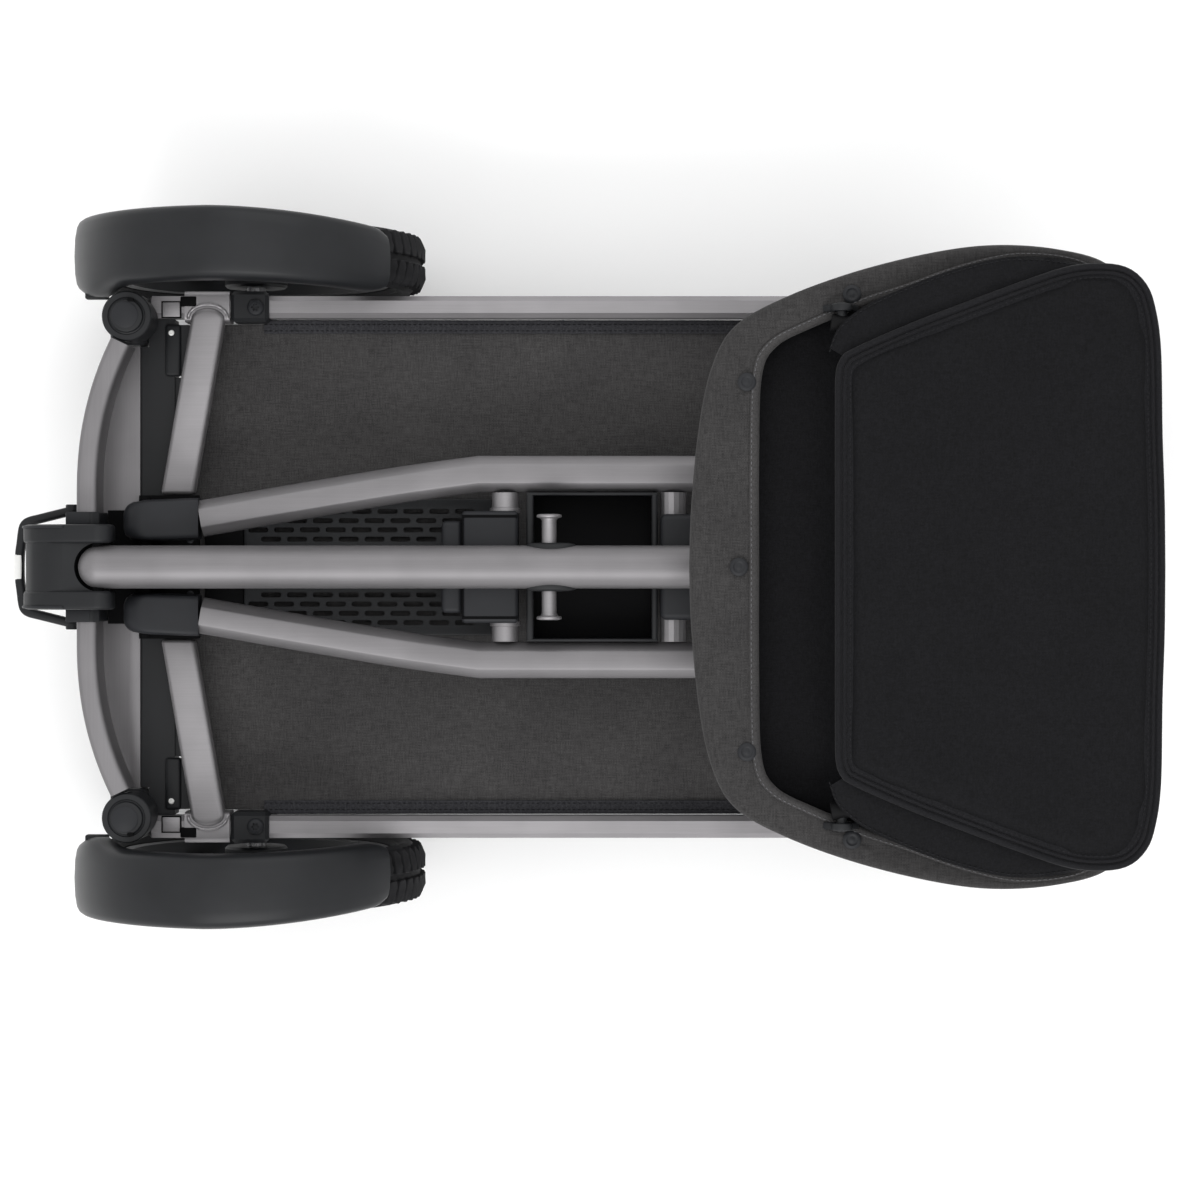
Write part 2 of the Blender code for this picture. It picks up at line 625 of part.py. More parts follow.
# ---- lifting arms --------------------------------------------------------------
def arms():
    pivot("arms", (ARM_PIVOT_X, 0, ARM_PIVOT_Z))
    front_x = ARM_PIVOT_X + LINK_LENGTH
    straight_x = ARM_PIVOT_X + 0.268
    section = oval_section("arm_section", ARM_WIDTH, ARM_HEIGHT)
    y_in = ARM_FRONT_Y - ARM_WIDTH / 2
    for tag, side in SIDES:
        route = [(-0.292, ARM_REAR_Y), (-0.230, 0.0508), (-0.1395, 0.0658), (straight_x, ARM_FRONT_Y)]
        points = [Vector((-0.2988, side * ARM_REAR_Y, ARM_PIVOT_Z))]
        points += smooth_path([(x, side * y, ARM_PIVOT_Z) for x, y in route], 4)
        points += [Vector((front_x + 0.012, side * ARM_FRONT_Y, ARM_PIVOT_Z))]
        arm = tube("lift_arm_" + tag, points, 0, "frame", "arms", section=section)
        z = ARM_PIVOT_Z
        boolean(arm, cylinder("arm_bore_" + tag, (front_x, -0.12, z), (front_x, 0.12, z), PIN_RADIUS + RUN))
        low, high = spread(side, TUBE_RADIUS + 0.0010, ARM_REAR_Y + ARM_WIDTH / 2 + 0.001)
        eye = (ARM_PIVOT_X, ARM_PIVOT_Z)
        outline = arc(eye, 0.0175, 90, 270, 10)
        outline += [(-0.312, ARM_PIVOT_Z - 0.0170), (-0.2993, ARM_PIVOT_Z - 0.0135)]
        outline += [(-0.2993, ARM_PIVOT_Z + 0.0135), (-0.312, ARM_PIVOT_Z + 0.0170)]
        knuckle = flat("arm_knuckle_" + tag, [outline], low, high, "plastic", "arms", upright=True, bevel=0.003)
        x, z = eye
        boolean(knuckle, cylinder("knuckle_bore_" + tag, (x, -0.12, z), (x, 0.12, z), PIN_RADIUS + RUN))

    top = TUBE_PIVOT_Z - TUBE_RADIUS - BOX_CLEAR
    latch = box("latch_box", (-0.0905, -0.045, BOX_BOTTOM), (-0.044, 0.045, top), "box", "arms")
    step = box("latch_step", (-0.1058, -0.037, BOX_BOTTOM + 0.004), (-0.0900, 0.037, top - 0.0035))
    boolean(latch, step, "UNION")
    add_bevel(latch, 0.0025)
    front = box("front_box", (0.0690, -0.0425, BOX_BOTTOM), (0.130, 0.0425, top), "box", "arms", bevel=0.004)
    for name, x, around in (("cross_tube_rear", -0.055, latch), ("cross_tube_front", 0.0800, front)):
        reach = y_in - GAP
        z = ARM_PIVOT_Z
        cylinder(name, (x, -reach, z), (x, reach, z), CROSS_TUBE_RADIUS, "frame", "arms")
        bore = cylinder(name + "_bore", (x, -0.1, z), (x, 0.1, z), CROSS_TUBE_RADIUS + GAP)
        boolean(around, bore)
    tray_top = top - 0.0065
    tray = box("pocket_tray", (-0.0380, -y_in + GAP, 0.206), (0.0675, y_in - GAP, tray_top), "plastic", "arms")
    boolean(tray, box("pocket_hollow", (-0.0320, -y_in + 0.0025, 0.209), (0.0625, y_in - 0.0025, 0.3)))


# ---- lifting tube ----------------------------------------------------------------
def lifting_tube():
    pivot("lift_tube", (TUBE_PIVOT_X, 0, TUBE_PIVOT_Z))
    r = TUBE_RADIUS
    rear = TUBE_PIVOT_X - 0.0115
    front = TUBE_PIVOT_X + LINK_LENGTH + 0.012
    length = front - rear
    tip = [(0, length), (r - 0.004, length), (r, length - 0.004)]
    profile = tip + [(r, 0.010), (r * 0.92, 0.0045), (r * 0.65, 0.0008), (0, 0)]
    obj = turned("lift_tube", (rear, 0, TUBE_PIVOT_Z), (1, 0, 0), profile, "frame", "lift_tube")
    z = TUBE_PIVOT_Z
    boolean(obj, cylinder("tube_bore_rear", (TUBE_PIVOT_X, -0.1, z), (TUBE_PIVOT_X, 0.1, z), PIN_RADIUS + RUN))
    far = TUBE_PIVOT_X + LINK_LENGTH
    boolean(obj, cylinder("tube_bore_front", (far, -0.1, z), (far, 0.1, z), PIN_RADIUS + OPEN_PIVOT_CLEAR))
    x = CROSS_PIN_X
    boolean(obj, cylinder("tube_bore_pin", (x, -0.1, z), (x, 0.1, z), CROSS_PIN_RADIUS + GAP))
    ends = (x, -CROSS_PIN_REACH, z), (x, CROSS_PIN_REACH, z)
    cylinder("cross_pin", *ends, CROSS_PIN_RADIUS, "frame", "lift_tube")
    core = cylinder("grommet_core", (-0.1, 0, z), (0.1, 0, z), r + GAP, sides=64)
    for tag, side in SIDES:
        low, high = spread(side, r - 0.003, r + 0.0024)
        a, b = GROMMET_LENGTH / 2, GROMMET_HEIGHT / 2
        lens = [(a, 0.0), (a * 0.6, b * 0.75), (0.0, b), (-a * 0.6, b * 0.75)]
        outline = [(x + 0.0015 + u, z + v) for u, v in lens + [(-u, -v) for u, v in lens]]
        ring = flat("pin_grommet_" + tag, [outline], low, high, "plastic", "lift_tube", upright=True)
        boolean(ring, core)
        boolean(ring, cylinder("grommet_bore_" + tag, (x, -0.1, z), (x, 0.1, z), CROSS_PIN_RADIUS + GAP))


# ---- cabin -------------------------------------------------------------------------
# half outlines as shares of the cabin's length and half width, rear middle first
RIM_OUTER = [(0.0, 0.0), (0.004, 0.18), (0.020, 0.42), (0.047, 0.61), (0.098, 0.745), (0.205, 0.834)]
RIM_OUTER += [(0.36, 0.915), (0.53, 0.975), (0.67, 1.0), (0.81, 0.988), (0.925, 0.94)]
RIM_OUTER += [(0.985, 0.82), (1.0, 0.55), (1.0, 0.0)]
RIM_INNER = [(0.151, 0.0), (0.151, 0.33), (0.157, 0.59), (0.190, 0.685), (0.27, 0.745), (0.395, 0.815)]
RIM_INNER += [(0.485, 0.855), (0.62, 0.92), (0.75, 0.955), (0.875, 0.925), (0.945, 0.80)]
RIM_INNER += [(0.965, 0.55), (0.965, 0.0)]


def cabin_outline(shares, per_span=2):
    half = smooth_path([(CABIN_REAR + a * CABIN_LENGTH, b * CABIN_HALF_WIDTH, 0) for a, b in shares], per_span)
    return whole([(p.x, max(0.0, p.y)) for p in half])


def cabin():
    place_1 = (ARM_PIVOT_X + LINK_LENGTH, 0, ARM_PIVOT_Z)
    place_2 = (TUBE_PIVOT_X + LINK_LENGTH, 0, TUBE_PIVOT_Z)
    pivot("cabin_base", place_1, "arms")
    outer = cabin_outline(RIM_OUTER)
    floor_top = FLOOR_Z + FLOOR_THICKNESS
    edge = inset(outer, WALL_INSET)
    floor = flat("cabin_floor", [edge], FLOOR_Z, floor_top, "plastic", "cabin_base")
    inner_wall = inset(outer, WALL_INSET + WALL_THICKNESS)
    flat("cabin_wall", [edge, inner_wall], floor_top + GAP, RIM_BOTTOM - GAP, "fabric", "cabin_base")
    pad = inset(outer, WALL_INSET + WALL_THICKNESS + 0.002)
    flat("floor_pad", [pad], floor_top + GAP, floor_top + PAD_THICKNESS, "lining", "cabin_base", bevel=0.003)
    for tag, side in SIDES:
        low, high = spread(side, ARM_FRONT_Y + ARM_WIDTH / 2 + 0.0012, ARM_FRONT_Y + ARM_WIDTH / 2 + 0.0072)
        cheek(floor, "arm_cheek_" + tag, place_1, 0.0145, 0.030, low, high)
        low, high = spread(side, TUBE_RADIUS + 0.0016, TUBE_RADIUS + 0.0066)
        cheek(floor, "tube_cheek_" + tag, place_2, 0.0115, 0.022, low, high)
    for name, (x, _, z) in (("arm_cheek_bore", place_1), ("tube_cheek_bore", place_2)):
        boolean(floor, cylinder(name, (x, -0.15, z), (x, 0.15, z), PIN_RADIUS + GAP))
    reach = ARM_FRONT_Y + ARM_WIDTH / 2 + 0.0085
    x, _, z = place_1
    cylinder("cabin_pivot_pin", (x, -reach, z), (x, reach, z), PIN_RADIUS, "steel", "cabin_base")
    reach = TUBE_RADIUS + 0.008
    x, _, z = place_2
    cylinder("tube_front_pin", (x, -reach, z), (x, reach, z), PIN_RADIUS, "steel", "cabin_base")


def cheek(floor, name, place_at, radius, top_half, low, high):
    """Adds a plate hanging from the cabin floor, with a rounded lower end round its pivot."""
    x, _, z = place_at
    top = FLOOR_Z + 0.002
    outline = arc((x, z), radius, 190, 350, 8) + [(x + top_half, top), (x - top_half, top)]
    boolean(floor, flat(name, [outline], low, high, upright=True), "UNION")


def cabin_rim():
    pivot("cabin_rim", (CABIN_REAR + CABIN_LENGTH / 2, 0, RIM_BOTTOM), "cabin_base")
    outer, inner = cabin_outline(RIM_OUTER), cabin_outline(RIM_INNER)
    flat("cabin_rim", [outer, inner], RIM_BOTTOM, RIM_TOP, "fabric", "cabin_rim")
    x, z = HANDLE_PIVOT_X, HANDLE_PIVOT_Z
    for tag, side in SIDES:
        low, high = spread(side, HANDLE_REAR_Y + HANDLE_RADIUS + 0.0015, HANDLE_REAR_Y + HANDLE_RADIUS + 0.0075)
        outline = arc((x, z), 0.0085, -20, 200, 8) + [(x - 0.014, RIM_TOP + GAP), (x + 0.014, RIM_TOP + GAP)]
        lug = flat("handle_lug_" + tag, [outline], low, high, "plastic", "cabin_rim", upright=True)
        low, high = spread(side, HANDLE_REAR_Y - 0.0165, HANDLE_REAR_Y + HANDLE_RADIUS + 0.0085)
        pin = cylinder("handle_pin_" + tag, (x, low, z), (x, high, z), HANDLE_PIN_RADIUS, sides=16)
        boolean(lug, pin, "UNION")


# ---- push handle, padded panel and hood ----------------------------------------------
def bow_path(offset, z):
    """The handle's plan, moved in by an offset: slanted sides from the pivots to a straight front bar."""
    start = (HANDLE_PIVOT_X, HANDLE_REAR_Y - offset)
    corner = 0.055
    front = HANDLE_FRONT_X - offset
    side_y = HANDLE_FRONT_Y - offset
    slope = (HANDLE_FRONT_Y - HANDLE_REAR_Y) / (HANDLE_FRONT_X - corner - HANDLE_PIVOT_X)
    half = [start, (HANDLE_PIVOT_X + 0.030, start[1])]
    half += [(front - corner, start[1] + slope * (front - corner - HANDLE_PIVOT_X))]
    rounded = arc((front - corner, half[-1][1] - corner), corner, 88, 0, 7)
    half += rounded
    points = [Vector((x, y, z)) for x, y in half]
    return points + [Vector((p.x, -p.y, z)) for p in reversed(points)]


def handle():
    x, z = HANDLE_PIVOT_X, HANDLE_PIVOT_Z
    pivot("handle", (x, 0, z), "cabin_rim")
    path = bow_path(0.0, z)
    path[0].x -= 0.008
    path[-1].x -= 0.008
    bow = tube("handle_bow", path, HANDLE_RADIUS, "frame", "handle")
    boolean(bow, cylinder("bow_bore", (x, -0.25, z), (x, 0.25, z), HANDLE_PIN_RADIUS + RUN, sides=16))
    grip = [(HANDLE_RADIUS + GAP, 0.100), (0.0092, 0.100), (0.0092, -0.100), (HANDLE_RADIUS + GAP, -0.100)]
    turned("handle_grip", (HANDLE_FRONT_X, 0, z), (0, 1, 0), grip, "grip", "handle", closed=True)
    low = z + 0.0098
    half = [(PANEL_REAR, 0.0), (PANEL_REAR, 0.110), (PANEL_REAR + 0.001, 0.150), (PANEL_REAR + 0.012, 0.163)]
    half += [(PANEL_REAR + 0.088, 0.197), (PANEL_REAR + 0.148, 0.217), (PANEL_REAR + 0.184, 0.2285)]
    half += [(PANEL_FRONT - 0.048, 0.2310), (PANEL_FRONT - 0.025, 0.2230), (PANEL_FRONT - 0.012, 0.210)]
    half += [(PANEL_FRONT - 0.008, 0.180), (PANEL_FRONT - 0.003, 0.09), (PANEL_FRONT, 0.0)]
    flat("padded_panel", [whole(half)], low, low + PANEL_THICKNESS, "lining", "handle", bevel=0.004)
    fabric_low = HANDLE_PIVOT_Z - BOW_HEIGHT / 2
    inner = BOW_THICKNESS / 2 + 0.014 + 0.001
    strip = u_strip(inner, inner + HOOD_WIDTH, HANDLE_PIVOT_X + 0.010)
    flat("hood_fabric", [strip], fabric_low, low - GAP, "lining", "handle")


def u_strip(near, far, rear_x):
    """A flat U between two offsets of the handle's plan, cut off straight at the rear."""
    first = [(p.x, p.y) for p in bow_path(near, 0)]
    second = [(p.x, p.y) for p in reversed(bow_path(far, 0))]
    loop = first + second
    return [(max(x, rear_x), y) for x, y in loop]


def hood_bow():
    x, z = HANDLE_PIVOT_X, HANDLE_PIVOT_Z
    pivot("hood_bow", (x, 0, z), "handle")
    middle = 0.014
    strip = u_strip(middle - BOW_THICKNESS / 2, middle + BOW_THICKNESS / 2, x - 0.0075)
    strip = [(px - 0.0075 if abs(px - x) < 1e-6 else px, py) for px, py in strip]
    bow = flat("hood_bow", [strip], z - BOW_HEIGHT / 2, z + BOW_HEIGHT / 2, "plastic", "hood_bow")
    boolean(bow, cylinder("hood_bore", (x, -0.25, z), (x, 0.25, z), HANDLE_PIN_RADIUS + RUN, sides=16))


# ---- front casters -----------------------------------------------------------------------
def casters():
    z_axle = FRONT_RADIUS
    wheel_x = CASTER_X - CASTER_TRAIL
    crown_top = RAIL_Z - RAIL_HEIGHT / 2 - 0.003
    for tag, side in SIDES:
        y = side * CASTER_Y
        socket = box(
            "caster_socket_" + tag,
            (RAIL_FRONT + GAP, y - 0.020, crown_top + 0.003),
            (CASTER_X + 0.021, y + 0.020, RAIL_Z + RAIL_HEIGHT / 2),
            "plastic",
            bevel=0.006,
        )
        stem_top = crown_top + 0.019
        bore = cylinder("stem_bore_" + tag, (CASTER_X, y, 0.1), (CASTER_X, y, stem_top + 0.001), 0.008 + RUN)
        boolean(socket, bore)
        pivot("caster_" + tag, (CASTER_X, y, crown_top))
        legs = fork(tag, y, crown_top, z_axle)
        stem = cylinder("caster_stem_" + tag, (CASTER_X, y, crown_top - 0.003), (CASTER_X, y, stem_top), 0.008)
        boolean(legs, stem, "UNION")
        reach = FORK_HALF - FORK_WALL / 2
        ends = (wheel_x, y - reach, z_axle), (wheel_x, y + reach, z_axle)
        boolean(legs, cylinder("front_axle_" + tag, *ends, 0.004), "UNION")
        body = "front_wheel_" + tag
        pivot(body, (wheel_x, y, z_axle), "caster_" + tag)
        half = FRONT_WIDTH / 2
        seat = FRONT_RADIUS - 0.018
        face = [(0.012, half), (0.014, 0.004), (seat - 0.010, 0.003), (seat - 0.004, half - 0.003)]
        face += [(seat + 0.006, half - 0.001), (FRONT_RADIUS - 0.006, half - 0.001)]
        face += [(FRONT_RADIUS, half - 0.008)]
        bore = 0.004 + RUN
        wheel = [(bore, half)] + face + [(r, -h) for r, h in reversed(face)] + [(bore, -half)]
        turned("front_wheel_" + tag, (wheel_x, y, z_axle), (0, 1, 0), wheel, "tyre", body, 28, closed=True)
    inner = CASTER_Y - 0.020 - GAP
    box(
        "front_cross_tube",
        (CASTER_X - 0.011, -inner, RAIL_Z - 0.010),
        (CASTER_X + 0.011, inner, RAIL_Z + 0.010),
        "frame",
        bevel=0.004,
    )


def fork(tag, y, top, z_axle):
    """Caster fork: an upside-down U whose legs slant back to the axle."""
    w, t = FORK_HALF, FORK_WALL
    foot = z_axle - 0.012
    half = [(w - 0.004, top), (w, top - 0.004), (w, foot), (w - t, foot), (w - t, top - 0.007)]
    outline = half + [(-across, up) for across, up in reversed(half)]
    obj = flat("caster_fork_" + tag, [outline], -0.013, 0.013, "plastic", "caster_" + tag, upright=True)
    slant = CASTER_TRAIL / (top - z_axle)
    for v in obj.data.vertices:
        across, up, along = v.co
        v.co = (CASTER_X + along - slant * (top - up), y + across, up)
    obj.location = (0, 0, 0)
    obj.rotation_euler = (0, 0, 0)
    bm = bmesh.new()
    bm.from_mesh(obj.data)
    bmesh.ops.recalc_face_normals(bm, faces=bm.faces)
    bm.to_mesh(obj.data)
    bm.free()
    return obj


rear_wheels()
mudguards()
chassis()
brake_pedal()
arms()
lifting_tube()
cabin()
cabin_rim()
handle()
hood_bow()
casters()
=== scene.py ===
import math
from itertools import pairwise

import bmesh
import bpy
from mathutils import Matrix, Vector, noise


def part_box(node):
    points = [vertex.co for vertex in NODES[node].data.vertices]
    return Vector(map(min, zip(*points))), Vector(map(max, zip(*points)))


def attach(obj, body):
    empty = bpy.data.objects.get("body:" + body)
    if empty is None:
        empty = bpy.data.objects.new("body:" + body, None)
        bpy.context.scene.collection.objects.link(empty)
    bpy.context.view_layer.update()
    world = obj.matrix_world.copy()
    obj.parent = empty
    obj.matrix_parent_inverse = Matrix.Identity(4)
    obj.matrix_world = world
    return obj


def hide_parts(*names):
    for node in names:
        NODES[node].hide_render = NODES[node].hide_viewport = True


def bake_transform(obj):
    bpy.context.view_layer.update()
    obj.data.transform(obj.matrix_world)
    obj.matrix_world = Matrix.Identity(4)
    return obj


bl_info = {
    "name": "Folded pet stroller",
    "version": (1, 0, 0),
    "blender": (4, 5, 0),
    "location": "3D View > Sidebar > Stroller",
    "description": "Builds the visual model of a folded pet stroller round its packed frame",
    "category": "Object",
}

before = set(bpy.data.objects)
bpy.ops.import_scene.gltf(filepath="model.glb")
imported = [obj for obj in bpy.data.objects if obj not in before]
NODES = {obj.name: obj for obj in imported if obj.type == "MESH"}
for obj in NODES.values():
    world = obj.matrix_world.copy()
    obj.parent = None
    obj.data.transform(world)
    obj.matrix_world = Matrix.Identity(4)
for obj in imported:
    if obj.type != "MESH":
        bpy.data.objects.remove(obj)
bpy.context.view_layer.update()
SIDES = (("l", 1), ("r", -1))
ROUND = 48
SLOTS = ("frame_aluminium", "black_plastic", "dark_plastic", "steel_pin", "tyre_rubber")
SLOTS += ("melange_fabric", "black_lining", "white_plastic", "grip_foam")


# ---- node trees ----------------------------------------------------------------
def linear(code):
    """sRGB hex to linear colour."""
    parts = [int(code[i : i + 2], 16) / 255 for i in (1, 3, 5)]
    return [c / 12.92 if c <= 0.04045 else ((c + 0.055) / 1.055) ** 2.4 for c in parts] + [1.0]


def feed(tree, node, inputs):
    """Links or sets each named input of a node."""
    for key, value in inputs.items():
        if isinstance(value, bpy.types.NodeSocket):
            tree.links.new(value, node.inputs[key])
        else:
            node.inputs[key].default_value = value


def add(tree, kind, inputs=None, **settings):
    """Adds one node with its settings, values and links."""
    node = tree.nodes.new(kind)
    for key, value in settings.items():
        setattr(node, key, value)
    feed(tree, node, inputs or {})
    return node


def maths(tree, operation, *values, **settings):
    """The result of one maths node."""
    return add(tree, "ShaderNodeMath", dict(enumerate(values)), operation=operation, **settings).outputs[0]


def start(name):
    """A new material with its shader and the Object coordinates."""
    mat = bpy.data.materials.new(name)
    mat.use_nodes = True
    tree = mat.node_tree
    tree.nodes.clear()
    shader = add(tree, "ShaderNodeBsdfPrincipled")
    add(tree, "ShaderNodeOutputMaterial", {"Surface": shader.outputs[0]})
    where = add(tree, "ShaderNodeTexCoord").outputs["Object"]
    return mat, tree, shader, where


def speckle(tree, where, size, stretch=(1, 1, 1), detail=3.0, rough=0.55):
    """Noise with cells of about the given size in metres, drawn out along an axis by stretch."""
    scale = [1 / s for s in stretch]
    turned = add(tree, "ShaderNodeMapping", {"Vector": where, "Scale": scale}).outputs[0]
    values = {"Vector": turned, "Scale": 1 / size, "Detail": detail, "Roughness": rough}
    return add(tree, "ShaderNodeTexNoise", values).outputs["Fac"]


def tint(tree, fac, low, high, dark, light):
    """Runs a value between two colours."""
    ramp = add(tree, "ShaderNodeValToRGB", {"Fac": fac})
    for element, place, colour in zip(ramp.color_ramp.elements, (low, high), (dark, light)):
        element.position = place
        element.color = colour
    return ramp.outputs["Color"]


def multiplied(tree, base, over):
    """One colour multiplied by another."""
    values = {0: 1.0, 6: base, 7: over}
    return add(tree, "ShaderNodeMix", values, data_type="RGBA", blend_type="MULTIPLY").outputs[2]


def bumped(tree, height, strength, distance, **below):
    """A normal from a height in metres."""
    values = {"Height": height, "Strength": strength, "Distance": distance, **below}
    return add(tree, "ShaderNodeBump", values).outputs[0]


def ranged(tree, fac, low, high):
    """Maps a 0 to 1 value to a range."""
    return add(tree, "ShaderNodeMapRange", {"Value": fac, "To Min": low, "To Max": high}).outputs[0]


def scaled(colour, factor):
    return [min(1.0, c * factor) for c in colour[:3]] + [1.0]


def anodised_aluminium(name, colour, along=(1, 1, 1)):
    """Extruded, blasted and anodised aluminium: satin, with faint draw lines along the profile."""
    mat, tree, shader, where = start(name)
    draw = speckle(tree, where, 0.0011, along, 2.0)
    blast = speckle(tree, where, 0.0005)
    patch = speckle(tree, where, 0.05, detail=2.0)
    base = tint(tree, patch, 0.3, 0.7, scaled(colour, 0.93), scaled(colour, 1.06))
    lines = tint(tree, draw, 0.35, 0.65, (0.96, 0.96, 0.96, 1), (1.03, 1.03, 1.03, 1))
    feed(tree, shader, {"Base Color": multiplied(tree, base, lines), "Metallic": 0.8})
    feed(tree, shader, {"Roughness": ranged(tree, draw, 0.46, 0.56)})
    feed(tree, shader, {"Normal": bumped(tree, blast, 0.12, 0.0002)})
    return mat


def moulded_plastic(name, colour, roughness, grain=0.0007, depth=0.00012, shine=0.22):
    """Injection-moulded plastic from a spark-eroded mould: matt, with a fine pebble grain."""
    mat, tree, shader, where = start(name)
    pebble = speckle(tree, where, grain, detail=2.0)
    patch = speckle(tree, where, 0.035, detail=3.0)
    base = tint(tree, patch, 0.3, 0.72, scaled(colour, 0.88), scaled(colour, 1.14))
    rough = ranged(tree, patch, roughness - 0.06, roughness + 0.06)
    feed(tree, shader, {"Base Color": base, "Roughness": rough, "Specular IOR Level": shine})
    feed(tree, shader, {"Normal": bumped(tree, pebble, 0.35, depth)})
    return mat


def turned_steel(name):
    """Zinc-plated turned steel: bright, with fine circular tool marks and a little dulling."""
    mat, tree, shader, where = start(name)
    marks = speckle(tree, where, 0.0006, (1, 6, 1), 2.0)
    base = tint(tree, marks, 0.3, 0.7, linear("#9A9A9C"), linear("#C2C2C4"))
    feed(tree, shader, {"Base Color": base, "Roughness": ranged(tree, marks, 0.22, 0.36), "Metallic": 1.0})
    return mat


def tyre_rubber(name):
    """Vulcanised rubber: near black and matt, with a dusty bloom and a fine pitted skin."""
    mat, tree, shader, where = start(name)
    dust = speckle(tree, where, 0.018, detail=5.0, rough=0.65)
    pits = speckle(tree, where, 0.0009, detail=3.0)
    base = tint(tree, dust, 0.38, 0.75, linear("#111113"), linear("#1D1D1F"))
    rough = ranged(tree, dust, 0.68, 0.85)
    feed(tree, shader, {"Base Color": base, "Roughness": rough, "Specular IOR Level": 0.2})
    feed(tree, shader, {"Normal": bumped(tree, pits, 0.4, 0.0002)})
    return mat


def woven_cloth(name, dark, light, pitch, roughness, slub=0.009, depth=0.0004, sheen=0.05, crease=0.0):
    """Plain-woven polyester: yarns cross at the pitch, and dyed fibres run light and dark along each yarn.
    The pitch is drawn about twice the real one so that it shows."""
    mat, tree, shader, where = start(name)
    wave = add(tree, "ShaderNodeVectorMath", {0: where, "Scale": math.pi / pitch}, operation="SCALE")
    ripple = add(tree, "ShaderNodeVectorMath", {0: wave.outputs[0]}, operation="SINE").outputs[0]
    part = add(tree, "ShaderNodeSeparateXYZ", {0: ripple}).outputs
    cross = maths(tree, "MULTIPLY_ADD", maths(tree, "MULTIPLY", part[0], part[1]), 2.0, 0.5, use_clamp=True)
    warp = speckle(tree, where, pitch, (slub / pitch, 1, 1), 3.0, 0.7)
    weft = speckle(tree, where, pitch, (1, slub / pitch, slub / pitch), 3.0, 0.7)
    yarn = add(tree, "ShaderNodeMix", {0: cross, 2: warp, 3: weft}).outputs[0]
    base = tint(tree, yarn, 0.36, 0.66, dark, light)
    patch = tint(tree, speckle(tree, where, 0.06), 0.3, 0.7, (0.9, 0.9, 0.91, 1), (1.08, 1.08, 1.08, 1))
    feed(tree, shader, {"Base Color": multiplied(tree, base, patch), "Roughness": roughness})
    feed(tree, shader, {"Specular IOR Level": 0.1, "Sheen Weight": sheen})
    normal = bumped(tree, yarn, 0.6, depth)
    if crease:
        normal = bumped(tree, speckle(tree, where, 0.022, detail=4.0, rough=0.5), 0.7, crease, Normal=normal)
    feed(tree, shader, {"Normal": normal})
    return mat


def closed_foam(name):
    """Closed-cell EVA foam sleeve: black and dull, with small open cells."""
    mat, tree, shader, where = start(name)
    cells = add(tree, "ShaderNodeTexVoronoi", {"Vector": where, "Scale": 900.0}).outputs["Distance"]
    base = tint(tree, cells, 0.1, 0.8, linear("#141415"), linear("#2A2A2B"))
    feed(tree, shader, {"Base Color": base, "Roughness": 0.85, "Normal": bumped(tree, cells, 0.4, 0.0004)})
    return mat


def pale_floor(name):
    """Painted studio floor: white and matt, with a faint mottle."""
    mat, tree, shader, where = start(name)
    mottle = speckle(tree, where, 0.4, detail=2.0)
    base = tint(tree, mottle, 0.3, 0.7, linear("#F6F6F6"), linear("#FBFBFB"))
    feed(tree, shader, {"Base Color": base, "Roughness": 0.9})
    return mat


M = {}


